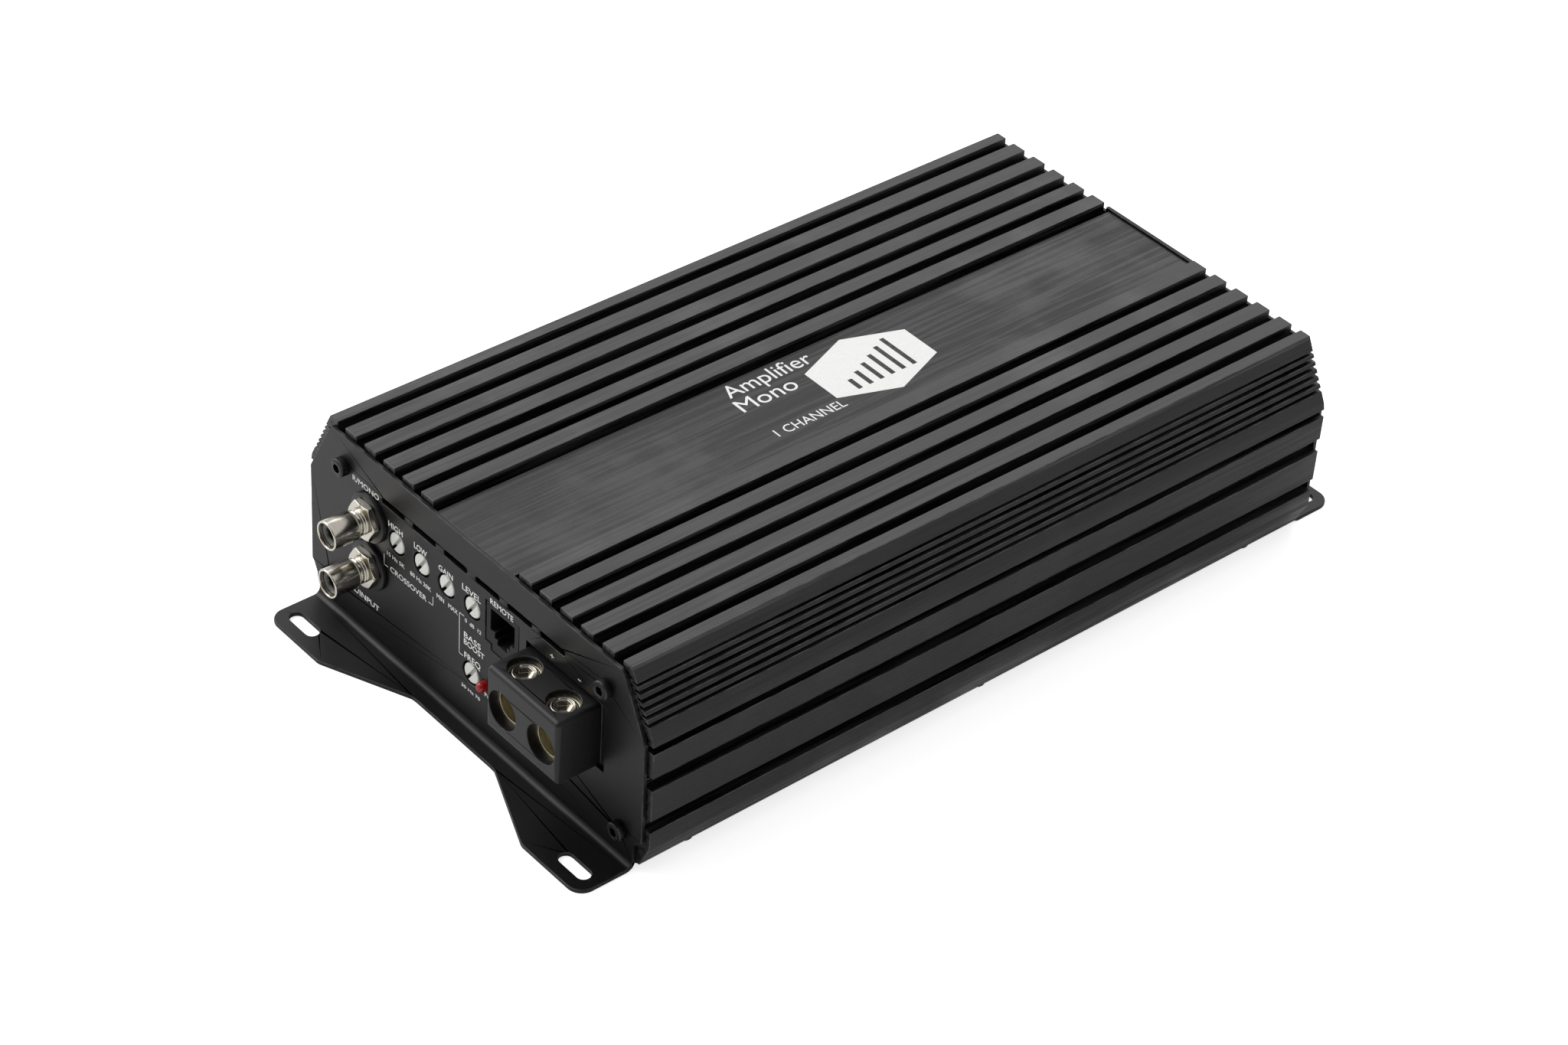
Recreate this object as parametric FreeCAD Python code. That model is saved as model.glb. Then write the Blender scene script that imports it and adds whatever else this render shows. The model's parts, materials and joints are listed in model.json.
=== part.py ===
import FreeCAD
import Part
import math
import os

# Car audio power amplifier: a finned aluminium extrusion closed by two folded sheet-metal end plates.
# Frame: +Z up, control end faces -Y, width along X. The origin is the centre of the four foot slots
# on the mounting plane z = 0. All sizes are millimetres.

# End plates
Y_FRONT = -118.6
Y_REAR = 119.6
SHEET = 1.2
BEND_R = 1.8
PLATE_TOP = 60.6
PLATE_TOP_HALF = 60.9
PLATE_WIDE_HALF = 70.1
PLATE_WIDE_Z = 42.7
PLATE_LOW_HALF = 70.4
PLATE_LOW_Z = 11.3
FOOT_HALF = 67.3
FOOT_STRIP_Z = 8.6
FRONT_FLANGE = 16.8
REAR_FLANGE = 15.0
FOOT_INNER = 44.0
RECESS_HALF = 17.5
RECESS_DEPTH = 5.3
SLOT_X = 58.4
SLOT_FRONT = 11.0
SLOT_REAR = 10.0
SLOT_HALF_WIDTH = 2.0
SLOT_LENGTH = 11.0
REAR_RIM_TOP = 59.4
REAR_TAB_TOP = 60.9
REAR_TAB_HALF = 17.4

# Heatsink extrusion section
BODY_Y0 = Y_FRONT + 1.3
BODY_Y1 = Y_REAR - 1.4
RIB_TOP = 62.3
RIB_FLOOR = 56.8
PANEL_TOP = 60.2
PANEL_HALF = 16.0
RIBS = [(17.9, 22.95), (26.2, 30.9), (34.45, 39.2), (42.6, 47.5), (51.1, 55.9), (59.2, 62.65)]
CHAMFER_SLOPE = 0.503
FIRST_FLAT_Z = 58.3
LAST_FLAT_Z = 47.9
FIN_COUNT = 5
FIN_TOP_Z = 57.1
FIN_PITCH = 1.96
FIN_HALF = 0.5
FIN_DEPTH = 2.4
WAIST = (71.4, 44.9)
SIDE_X = 72.1
SIDE_FLOOR_X = 68.6
GROOVES = [(42.8, 40.7), (33.0, 28.8), (19.0, 15.2)]
SIDE_LOW_Z = 10.0
BODY_BOTTOM = 2.1
ROOF_Z = 52.5
INNER_X = 64.5
LEDGE_X = 60.6

# Fasteners
BOSS_XZ = [(-54.9, 51.4), (54.9, 51.4), (-62.2, 10.5), (62.2, 10.5)]
BOSS_R = 3.3
TAP_R = 1.5
SHANK_R = 1.45
CLEAR_R = 1.65
HEAD_R = 2.65
HEAD_H = 2.5
COVER_HALF = 67.4
COVER_SCREW_X = 64.4
COVER_SCREW_Y = [-100.0, 0.0, 100.0]

# Controls on the front plate
POT_HOLE_R = 3.58
POT_SHAFT_R = 3.0
POT_HALF_X = 3.9
POTS = {
    "high_pass": (-31.9, 40.3),
    "low_pass": (-21.1, 40.3),
    "gain": (-10.4, 40.3),
    "bass_level": (0.5, 40.3),
    "bass_frequency": (0.3, 18.5),
}
POT_SLOT_ANGLE = 55.0
VENT_X = [-33.35, -20.0, -6.7, 6.7, 20.0, 33.35]
VENT_Z = 50.6
VENT_LENGTH = 10.1
VENT_WIDTH = 2.0
RCA_X = -43.2
RCA_Z = {"upper": 42.0, "lower": 26.2}
LED_XZ = (6.4, 18.8)
JACK_X0 = 6.1
JACK_X1 = 20.0
JACK_Z0 = 33.9
JACK_Z1 = 47.0

# Terminal blocks
OUT_X0 = 23.2
OUT_X1 = 52.0
OUT_Z0 = 23.9
OUT_Z1 = 43.4
OUT_REACH = 12.5
OUT_PORTS = {"positive": 29.8, "negative": 45.4}
OUT_PORT_Z = 32.8
OUT_BORE_R = 4.5
POWER_HALF = 27.0
POWER_Z0 = 22.4
POWER_Z1 = 43.4
POWER_PORTS = {"ground": 15.5, "battery": -15.5}
POWER_BORE_R = 4.8
TURN_ON_BORE_R = 1.8
MOUTH_R = 5.5
MOUTH_DEPTH = 2.8
SCREW_FROM_FACE = 6.9
CLAMP_SCREW_R = 3.8

# Inside: boards, and the places of the parts on the main board
BOARD_Z0 = 14.4
BOARD_Z1 = 16.0
BOARD_HALF = 61.3
CONTROL_BOARD_Y = Y_FRONT + 13.5
STANDOFFS = [(sx * 50.0, y) for y in (-92.0, 0.0, 92.0) for sx in (-1, 1)]
CLAMP_BOLT_Z = 29.0
CLAMP_BOLT_Y = [-66.0, 0.0, 66.0]
TRANSISTOR_Y = [-84.0, -50.0, -34.0, -16.0, 16.0, 34.0, 50.0, 84.0]
SUPPLY_CAPS = [(-34.0, 84.0), (-34.0, 62.0), (34.0, 84.0), (34.0, 62.0)]
FILTER_CAPS = [(-36.0, -40.0), (-36.0, -60.0), (36.0, -34.0)]


def box(x0, x1, y0, y1, z0, z1):
    """Box between two corners."""
    return Part.makeBox(x1 - x0, y1 - y0, z1 - z0, FreeCAD.Vector(x0, y0, z0))


def rod_y(x, z, r, y0, y1):
    """Cylinder along Y."""
    return Part.makeCylinder(r, y1 - y0, FreeCAD.Vector(x, y0, z), FreeCAD.Vector(0, 1, 0))


def rod_z(x, y, r, z0, z1):
    """Cylinder along Z."""
    return Part.makeCylinder(r, z1 - z0, FreeCAD.Vector(x, y, z0), FreeCAD.Vector(0, 0, 1))


def rod_x(y, z, r, x0, x1):
    """Cylinder along X."""
    return Part.makeCylinder(r, x1 - x0, FreeCAD.Vector(x0, y, z), FreeCAD.Vector(1, 0, 0))


def prism_y(points, y0, y1):
    """Closed XZ polygon pushed along Y."""
    ring = [FreeCAD.Vector(x, y0, z) for x, z in points]
    face = Part.Face(Part.makePolygon(ring + [ring[0]]))
    return face.extrude(FreeCAD.Vector(0, y1 - y0, 0))


def prism_z(points, z0, z1):
    """Closed XY polygon pushed along Z."""
    ring = [FreeCAD.Vector(x, y, z0) for x, y in points]
    face = Part.Face(Part.makePolygon(ring + [ring[0]]))
    return face.extrude(FreeCAD.Vector(0, 0, z1 - z0))


def hexagon(across_flats):
    """Corner points of a hexagon about the origin."""
    r = across_flats / math.sqrt(3.0)
    return [(r * math.cos(math.radians(60 * k)), r * math.sin(math.radians(60 * k))) for k in range(6)]


def hex_y(x, z, across_flats, y0, y1):
    """Hexagonal bar along Y."""
    return prism_y([(x + px, z + pz) for px, pz in hexagon(across_flats)], y0, y1)


def hex_z(x, y, across_flats, z0, z1):
    """Hexagonal bar along Z."""
    return prism_z([(x + px, y + py) for px, py in hexagon(across_flats)], z0, z1)


def slot_y(x, z, length, width, y0, y1):
    """Round-ended slot tool, long along X, cut along Y."""
    r = width / 2.0
    half = length / 2.0 - r
    bar = box(x - half, x + half, y0, y1, z - r, z + r)
    return bar.fuse([rod_y(x - half, z, r, y0, y1), rod_y(x + half, z, r, y0, y1)])


def slot_z(x, y, length, width, z0, z1):
    """Round-ended slot tool, long along X, cut along Z."""
    r = width / 2.0
    half = length / 2.0 - r
    bar = box(x - half, x + half, y - r, y + r, z0, z1)
    return bar.fuse([rod_z(x - half, y, r, z0, z1), rod_z(x + half, y, r, z0, z1)])


def round_upright_edges(shape, places, radius):
    """Fillet the edges along Z that stand at the given XY places."""
    chosen = []
    for edge in shape.Edges:
        a = edge.Vertexes[0].Point
        b = edge.Vertexes[-1].Point
        upright = abs(a.x - b.x) < 1e-6 and abs(a.y - b.y) < 1e-6 and abs(a.z - b.z) > 1e-6
        if upright and any(abs(a.x - px) < 1e-3 and abs(a.y - py) < 1e-3 for px, py in places):
            chosen.append(edge)
    return shape.makeFillet(radius, chosen)


def round_length_edges(shape, places, radius):
    """Fillet the edges along Y that stand at the given XZ places."""
    chosen = []
    for edge in shape.Edges:
        a = edge.Vertexes[0].Point
        b = edge.Vertexes[-1].Point
        along = abs(a.x - b.x) < 1e-6 and abs(a.z - b.z) < 1e-6 and abs(a.y - b.y) > 1e-6
        if along and any(abs(a.x - px) < 1e-3 and abs(a.z - pz) < 1e-3 for px, pz in places):
            chosen.append(edge)
    return shape.makeFillet(radius, chosen)


def edges_at_y(shape, y):
    """Edges that lie wholly in the plane at y."""
    spans = [(edge, edge.BoundBox) for edge in shape.Edges]
    return [edge for edge, b in spans if abs(b.YMin - y) < 1e-6 and abs(b.YMax - y) < 1e-6]


def chamfer_x(z):
    """Outer X of the sloping shoulder at height z."""
    return RIBS[-1][1] + CHAMFER_SLOPE * (RIB_TOP - z)


def shoulder_points():
    """Right shoulder: a flat, five thin fins, a flat, down to the waist."""
    points = [(chamfer_x(FIRST_FLAT_Z), FIRST_FLAT_Z)]
    z = FIRST_FLAT_Z
    for k in range(FIN_COUNT):
        top = FIN_TOP_Z - FIN_PITCH * k + FIN_HALF
        low = top - 2 * FIN_HALF
        points.append((chamfer_x(z) - FIN_DEPTH, z))
        points.append((chamfer_x(top) - FIN_DEPTH, top))
        points.append((chamfer_x(top), top))
        points.append((chamfer_x(low), low))
        z = low
    points.append((chamfer_x(z) - FIN_DEPTH, z))
    points.append((chamfer_x(LAST_FLAT_Z) - FIN_DEPTH, LAST_FLAT_Z))
    points.append((chamfer_x(LAST_FLAT_Z), LAST_FLAT_Z))
    points.append(WAIST)
    return points


def side_points():
    """Right side: three tall slabs parted by square channels, each channel with a low rib in it."""
    points = [(SIDE_X - 0.2, GROOVES[0][0])]
    for top, low in GROOVES:
        middle = (top + low) / 2.0
        points.append((SIDE_FLOOR_X, top))
        points.append((SIDE_FLOOR_X, middle + 0.3))
        points.append((SIDE_FLOOR_X + 0.9, middle + 0.3))
        points.append((SIDE_FLOOR_X + 0.9, middle - 0.3))
        points.append((SIDE_FLOOR_X, middle - 0.3))
        points.append((SIDE_FLOOR_X, low))
        points.append((SIDE_X, low))
        if low != GROOVES[-1][1]:
            points.append((SIDE_X, GROOVES[GROOVES.index((top, low)) + 1][0]))
    points.append((SIDE_X, SIDE_LOW_Z))
    points.append((69.6, 4.9))
    points.append((68.4, BODY_BOTTOM))
    return points


def body_half():
    """Right half of the extrusion's section, from the top centre round to the roof centre."""
    points = [(0.0, PANEL_TOP), (PANEL_HALF, PANEL_TOP), (PANEL_HALF, RIB_FLOOR)]
    for left, right in RIBS:
        points.append((left, RIB_FLOOR))
        points.append((left, RIB_TOP))
        points.append((right, RIB_TOP))
        if right != RIBS[-1][1]:
            points.append((right, RIB_FLOOR))
    points += shoulder_points()
    points += side_points()
    points.append((LEDGE_X, BODY_BOTTOM))
    points.append((LEDGE_X, 6.0))
    points.append((INNER_X, 7.4))
    points.append((INNER_X, 46.7))
    points.append((61.5, ROOF_Z))
    points.append((0.0, ROOF_Z))
    return points


def heatsink_body():
    half = prism_y(body_half(), BODY_Y0, BODY_Y1)
    body = half.fuse(half.mirror(FreeCAD.Vector(0, 0, 0), FreeCAD.Vector(1, 0, 0)))
    for x, z in BOSS_XZ:
        body = body.fuse(rod_y(x, z, BOSS_R, BODY_Y0, BODY_Y1))
    for x, z in BOSS_XZ:
        body = body.cut(rod_y(x, z, TAP_R, BODY_Y0 - 1, BODY_Y1 + 1))
    for y in COVER_SCREW_Y:
        for side in (-1, 1):
            body = body.cut(rod_z(side * COVER_SCREW_X, y, TAP_R, 0, 7.0))
    for y in CLAMP_BOLT_Y:
        for side in (-1, 1):
            tap = rod_x(y, CLAMP_BOLT_Z, 1.3, min(side * 60, side * 67), max(side * 60, side * 67))
            body = body.cut(tap)
    return body.removeSplitter()


def bottom_cover():
    y0 = BODY_Y0 + 0.2
    y1 = BODY_Y1 - 0.2
    cover = box(-COVER_HALF, COVER_HALF, y0, y1, 0.9, BODY_BOTTOM)
    corners = [(side * COVER_HALF, y) for side in (-1, 1) for y in (y0, y1)]
    cover = round_upright_edges(cover, corners, 2.0)
    for y in COVER_SCREW_Y:
        for side in (-1, 1):
            cover = cover.cut(rod_z(side * COVER_SCREW_X, y, CLEAR_R, 0, 3))
    return cover


def bottom_cover_screws():
    screws = []
    for y in COVER_SCREW_Y:
        for side in (-1, 1):
            x = side * COVER_SCREW_X
            head = rod_z(x, y, 2.7, 0.15, 0.9)
            shank = rod_z(x, y, SHANK_R, 0.5, 6.5)
            drive = hex_z(x, y, 2.0, 0.0, 0.55)
            screws.append(head.fuse(shank).cut(drive))
    return Part.makeCompound(screws)


def plate_outline(top_points):
    """XZ outline of an end plate above its bend, given its top edge from left to right."""
    right = [(PLATE_WIDE_HALF, PLATE_WIDE_Z), (PLATE_LOW_HALF, PLATE_LOW_Z), (FOOT_HALF, FOOT_STRIP_Z)]
    left = [(-x, z) for x, z in reversed(right)]
    base = BEND_R + SHEET
    return top_points + right + [(FOOT_HALF, base), (-FOOT_HALF, base)] + left


def foot(flange, slot_from_face):
    """Bend and outward flange of a front plate whose outer face is y = 0 and which folds towards -Y."""
    centre_y = -BEND_R
    centre_z = BEND_R + SHEET
    outer = rod_x(centre_y, centre_z, BEND_R + SHEET, -FOOT_HALF, FOOT_HALF)
    inner = rod_x(centre_y, centre_z, BEND_R, -FOOT_HALF - 1, FOOT_HALF + 1)
    quarter = box(-FOOT_HALF, FOOT_HALF, centre_y, SHEET, 0, centre_z)
    bend = outer.cut(inner).common(quarter)
    outline = [
        (-FOOT_HALF, centre_y),
        (-FOOT_HALF, -flange),
        (-FOOT_INNER, -flange),
        (-RECESS_HALF, -RECESS_DEPTH),
        (RECESS_HALF, -RECESS_DEPTH),
        (FOOT_INNER, -flange),
        (FOOT_HALF, -flange),
        (FOOT_HALF, centre_y),
    ]
    sheet = prism_z(outline, 0, SHEET)
    sheet = round_upright_edges(sheet, [(-FOOT_HALF, -flange), (FOOT_HALF, -flange)], 4.5)
    sheet = round_upright_edges(sheet, [(-FOOT_INNER, -flange), (FOOT_INNER, -flange)], 4.0)
    sheet = round_upright_edges(sheet, [(-RECESS_HALF, -RECESS_DEPTH), (RECESS_HALF, -RECESS_DEPTH)], 4.0)
    for side in (-1, 1):
        slot = slot_z(side * SLOT_X, -slot_from_face, SLOT_LENGTH, 2 * SLOT_HALF_WIDTH, -1, SHEET + 1)
        sheet = sheet.cut(slot)
    return bend.fuse(sheet)


def screw_holes(plate):
    for x, z in BOSS_XZ:
        plate = plate.cut(rod_y(x, z, CLEAR_R, -1, SHEET + 1))
    return plate


def vent_slots(plate):
    for x in VENT_X:
        plate = plate.cut(slot_y(x, VENT_Z, VENT_LENGTH, VENT_WIDTH, -1, SHEET + 1))
    return plate


def front_end_plate():
    top = [(-PLATE_TOP_HALF, PLATE_TOP), (PLATE_TOP_HALF, PLATE_TOP)]
    plate = prism_y(plate_outline(top), 0, SHEET)
    plate = round_length_edges(plate, top, 1.6)
    waist = [(sx * PLATE_WIDE_HALF, PLATE_WIDE_Z) for sx in (-1, 1)]
    plate = round_length_edges(plate, waist, 2.0)
    plate = plate.fuse(foot(FRONT_FLANGE, SLOT_FRONT)).removeSplitter()
    plate = vent_slots(screw_holes(plate))
    for x, z in POTS.values():
        plate = plate.cut(rod_y(x, z, POT_HOLE_R, -1, SHEET + 1))
    for z in RCA_Z.values():
        plate = plate.cut(rod_y(RCA_X, z, 4.3, -1, SHEET + 1))
    plate = plate.cut(rod_y(LED_XZ[0], LED_XZ[1], 1.65, -1, SHEET + 1))
    plate = plate.cut(box(JACK_X0, JACK_X1, -1, SHEET + 1, JACK_Z0, JACK_Z1))
    plate = plate.cut(box(8.6, 17.4, -1, SHEET + 1, JACK_Z0 - 2.0, JACK_Z0 + 1))
    plate = plate.cut(box(OUT_X0 - 0.2, OUT_X1 + 2.8, -1, SHEET + 1, OUT_Z0 - 0.2, OUT_Z1 + 1.4))
    plate.translate(FreeCAD.Vector(0, Y_FRONT, 0))
    return plate


def rear_end_plate():
    # Built facing -Y like the front plate, then turned half round about Z.
    top = [
        (-PLATE_TOP_HALF, REAR_RIM_TOP),
        (-REAR_TAB_HALF, REAR_RIM_TOP),
        (-REAR_TAB_HALF, REAR_TAB_TOP),
        (REAR_TAB_HALF, REAR_TAB_TOP),
        (REAR_TAB_HALF, REAR_RIM_TOP),
        (PLATE_TOP_HALF, REAR_RIM_TOP),
    ]
    plate = prism_y(plate_outline(top), 0, SHEET)
    waist = [(sx * PLATE_WIDE_HALF, PLATE_WIDE_Z) for sx in (-1, 1)]
    plate = round_length_edges(plate, waist, 2.0)
    plate = plate.fuse(foot(REAR_FLANGE, SLOT_REAR)).removeSplitter()
    plate = vent_slots(screw_holes(plate))
    half = POWER_HALF + 0.4
    plate = plate.cut(box(-half, half, -1, SHEET + 1, POWER_Z0 - 0.4, POWER_Z1 + 0.4))
    plate.rotate(FreeCAD.Vector(0, 0, 0), FreeCAD.Vector(0, 0, 1), 180)
    plate.translate(FreeCAD.Vector(0, Y_REAR, 0))
    return plate


def cap_screw(x, z, face_y, outward):
    """Socket-head screw whose head bears on a plate face; outward is -1 at the front, +1 at the rear."""
    head_y = sorted((face_y, face_y + outward * HEAD_H))
    head = rod_y(x, z, HEAD_R, head_y[0], head_y[1])
    rim_y = face_y + outward * HEAD_H
    head = head.makeChamfer(0.3, edges_at_y(head, rim_y))
    shank_y = sorted((face_y, face_y - outward * 9.0))
    shank = rod_y(x, z, SHANK_R, shank_y[0], shank_y[1])
    socket_y = sorted((rim_y + outward, rim_y - outward * 1.5))
    return head.fuse(shank).cut(hex_y(x, z, 2.5, socket_y[0], socket_y[1]))


def plate_screws(face_y, outward):
    return Part.makeCompound([cap_screw(x, z, face_y, outward) for x, z in BOSS_XZ])


def pot_body(x, z):
    """Sealed trimmer case with a stepped bore for its rotor and a stem that reaches the control board."""
    case = box(x - POT_HALF_X, x + POT_HALF_X, Y_FRONT + 2.0, Y_FRONT + 9.0, z - 4.7, z + 4.7)
    stem = box(x - 3.5, x + 3.5, Y_FRONT + 9.0, CONTROL_BOARD_Y, z - 2.5, z + 2.5)
    case = case.fuse(stem)
    case = case.cut(rod_y(x, z, POT_SHAFT_R + 0.06, Y_FRONT + 1.0, Y_FRONT + 5.2))
    return case.cut(rod_y(x, z, 1.56, Y_FRONT + 5.0, Y_FRONT + 8.2))


def pot_shaft(x, z):
    """Slotted rotor, its face level with the plate."""
    face = Y_FRONT + 0.1
    shaft = rod_y(x, z, POT_SHAFT_R, face, Y_FRONT + 5.0)
    shaft = shaft.makeChamfer(0.25, edges_at_y(shaft, face))
    shaft = shaft.fuse(rod_y(x, z, 1.5, Y_FRONT + 5.0, Y_FRONT + 8.0))
    blade = box(x - 5, x + 5, face - 1, face + 1.3, z - 0.5, z + 0.5)
    blade.rotate(FreeCAD.Vector(x, 0, z), FreeCAD.Vector(0, 1, 0), -POT_SLOT_ANGLE)
    return shaft.cut(blade)


def ring_y(x, z, outline):
    """Solid of revolution about an axis along Y from (radius, y) points."""
    points = [FreeCAD.Vector(x + r, y, z) for r, y in outline]
    face = Part.Face(Part.makePolygon(points + [points[0]]))
    return face.revolve(FreeCAD.Vector(x, 0, z), FreeCAD.Vector(0, 1, 0), 360)


def rca_shell(z):
    """Plated barrel with a rolled mouth, a taper to the thread, and a thread that passes the plate."""
    tip = Y_FRONT - 14.0
    outline = [
        (3.5, tip),
        (3.8, tip),
        (4.15, tip + 0.35),
        (4.15, tip + 7.6),
        (3.7, tip + 8.6),
        (3.7, Y_FRONT + 6.5),
        (2.3, Y_FRONT + 6.5),
        (2.3, Y_FRONT - 4.6),
        (3.5, Y_FRONT - 4.6),
    ]
    return ring_y(RCA_X, z, outline)


def rca_insulator(z):
    outline = [
        (1.95, Y_FRONT - 12.8),
        (3.45, Y_FRONT - 12.8),
        (3.45, Y_FRONT - 4.6),
        (2.25, Y_FRONT - 4.6),
        (2.25, Y_FRONT + 7.0),
        (1.05, Y_FRONT + 7.0),
        (1.05, Y_FRONT - 4.3),
        (1.95, Y_FRONT - 4.3),
    ]
    return ring_y(RCA_X, z, outline)


def rca_contact(z):
    """Sleeve that takes the plug's pin, with a tail to the control board."""
    sleeve = rod_y(RCA_X, z, 1.9, Y_FRONT - 12.5, Y_FRONT - 4.35)
    sleeve = sleeve.cut(rod_y(RCA_X, z, 1.6, Y_FRONT - 13.0, Y_FRONT - 5.2))
    return sleeve.fuse(rod_y(RCA_X, z, 1.0, Y_FRONT - 4.5, CONTROL_BOARD_Y))


def rca_flange_washers():
    washers = []
    for z in RCA_Z.values():
        disc = rod_y(RCA_X, z, 7.2, Y_FRONT - 1.2, Y_FRONT)
        collar = rod_y(RCA_X, z, 4.25, Y_FRONT - 0.5, Y_FRONT + SHEET)
        washers.append(disc.fuse(collar).cut(rod_y(RCA_X, z, 3.75, Y_FRONT - 2, Y_FRONT + 3)))
    return Part.makeCompound(washers)


def rca_nuts():
    nuts = []
    for z in RCA_Z.values():
        front = hex_y(RCA_X, z, 10.4, Y_FRONT - 3.3, Y_FRONT - 1.2)
        back = hex_y(RCA_X, z, 10.4, Y_FRONT + SHEET, Y_FRONT + SHEET + 2.0)
        for nut in (front, back):
            nuts.append(nut.cut(rod_y(RCA_X, z, 3.72, Y_FRONT - 5, Y_FRONT + 5)))
    return Part.makeCompound(nuts)


def remote_jack_housing():
    """Six-way modular jack: a square cavity with a stepped keyway below it for the plug's latch."""
    face = Y_FRONT + 0.15
    shell = box(JACK_X0 + 0.3, JACK_X1 - 0.3, face, CONTROL_BOARD_Y, JACK_Z0 + 0.3, JACK_Z1 - 0.3)
    middle = (JACK_X0 + JACK_X1) / 2.0
    shell = shell.fuse(box(middle - 4.2, middle + 4.2, face, CONTROL_BOARD_Y, JACK_Z0 - 1.8, JACK_Z0 + 1))
    shell = shell.cut(box(middle - 4.9, middle + 4.9, face - 1, face + 11.0, 38.4, 45.2))
    shell = shell.cut(box(middle - 3.1, middle + 3.1, face - 1, face + 8.5, 36.7, 38.6))
    return shell.cut(box(middle - 1.9, middle + 1.9, face - 1, face + 8.5, 35.2, 36.8))


def remote_jack_contacts():
    """Six sprung wires that slope back and down from the cavity's roof."""
    middle = (JACK_X0 + JACK_X1) / 2.0
    wires = []
    for k in range(6):
        x = middle - 2.55 + 1.02 * k
        side = [(Y_FRONT + 3.0, 45.1), (Y_FRONT + 3.0, 44.7), (Y_FRONT + 9.5, 43.2), (Y_FRONT + 9.5, 43.6)]
        ring = [FreeCAD.Vector(x - 0.2, y, z) for y, z in side]
        face = Part.Face(Part.makePolygon(ring + [ring[0]]))
        wires.append(face.extrude(FreeCAD.Vector(0.4, 0, 0)))
    return Part.makeCompound(wires)


def power_led():
    x, z = LED_XZ
    lens = rod_y(x, z, 1.5, Y_FRONT - 1.2, Y_FRONT + 3.2)
    dome = Part.makeSphere(1.5, FreeCAD.Vector(x, Y_FRONT - 1.2, z))
    return lens.fuse(dome).fuse(rod_y(x, z, 1.9, Y_FRONT + 3.0, Y_FRONT + 4.2)).removeSplitter()


def led_holder():
    x, z = LED_XZ
    return box(x - 2.0, x + 2.0, Y_FRONT + 4.2, CONTROL_BOARD_Y, z - 2.0, z + 2.0)


def insert_block(x, port_z, reach, bore_r, half, top_z):
    """Brass clamp block facing -Y with its outer face reach in front of y = 0."""
    low = port_z - half
    block = box(x - half, x + half, -reach + MOUTH_DEPTH, 4.0, low, top_z)
    block = block.cut(rod_y(x, port_z, bore_r, -reach, 1.5))
    screw_y = -reach + SCREW_FROM_FACE
    return block.cut(rod_z(x, screw_y, CLAMP_SCREW_R + 0.05, port_z, top_z + 1))


def busbar(x, y1, low):
    """Tail from a clamp block back over the board and down to it."""
    strap = box(x - 2.5, x + 2.5, 4.0, y1, low, low + 2.0)
    leg = box(x - 2.5, x + 2.5, y1 - 2.0, y1, BOARD_Z1, low + 2.0)
    return strap.fuse(leg)


def output_terminal_inserts():
    inserts = []
    for x in OUT_PORTS.values():
        block = insert_block(x, OUT_PORT_Z, OUT_REACH, OUT_BORE_R, 6.2, 41.4)
        inserts.append(block.fuse(busbar(x, 22.0, OUT_PORT_Z - 6.2)))
    shape = Part.makeCompound(inserts)
    shape.translate(FreeCAD.Vector(0, Y_FRONT, 0))
    return shape


def hollow_for_insert(housing, x, port_z, reach, half, top_z, hole_top):
    housing = housing.cut(box(x - half, x + half, -reach + MOUTH_DEPTH, 8.0, port_z - half, top_z))
    housing = housing.cut(rod_y(x, port_z, MOUTH_R, -reach - 1, -reach + MOUTH_DEPTH + 0.1))
    return housing.cut(rod_z(x, -reach + SCREW_FROM_FACE, 4.4, top_z - 0.1, hole_top))


def output_terminal_housing():
    """Moulded block through the front plate, rounded outside, with a flange behind the plate."""
    nose = box(OUT_X0, OUT_X1, -OUT_REACH, 7.0, OUT_Z0, OUT_Z1)
    soft = []
    for edge in nose.Edges:
        b = edge.BoundBox
        if b.YMax < 7.0 - 1e-6 or (b.YLength > 1 and b.ZMin > OUT_Z1 - 1e-6):
            soft.append(edge)
    nose = nose.makeFillet(1.3, soft)
    flange = box(OUT_X0 - 1.4, OUT_X1 + 3.8, SHEET + 0.05, SHEET + 1.8, OUT_Z0 - 1.4, OUT_Z1 + 2.4)
    housing = nose.fuse(flange)
    for x in OUT_PORTS.values():
        housing = hollow_for_insert(housing, x, OUT_PORT_Z, OUT_REACH, 6.2, 41.4, 50)
    housing.translate(FreeCAD.Vector(0, Y_FRONT, 0))
    return housing


def clamp_pad(x, screw_y, bore_top, r):
    """Pressure pad above the wire, with a spigot that the screw turns on."""
    pad = rod_z(x, screw_y, r - 0.1, bore_top, bore_top + 1.1)
    return pad.fuse(rod_z(x, screw_y, r * 0.27, bore_top + 1.1, bore_top + 2.0))


def clamp_screw(x, screw_y, bore_top, r, length):
    """Grub screw with a hexagon socket, bored underneath for the pad's spigot."""
    base = bore_top + 1.2
    screw = rod_z(x, screw_y, r, base, base + length)
    rim = [e for e in screw.Edges if e.BoundBox.ZMin > base + length - 1e-6]
    screw = screw.makeChamfer(min(0.5, r * 0.2), rim)
    screw = screw.cut(rod_z(x, screw_y, r * 0.27 + 0.06, base - 1, bore_top + 2.1))
    return screw.cut(hex_z(x, screw_y, r * 1.15, base + length * 0.42, base + length + 1))


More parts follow.
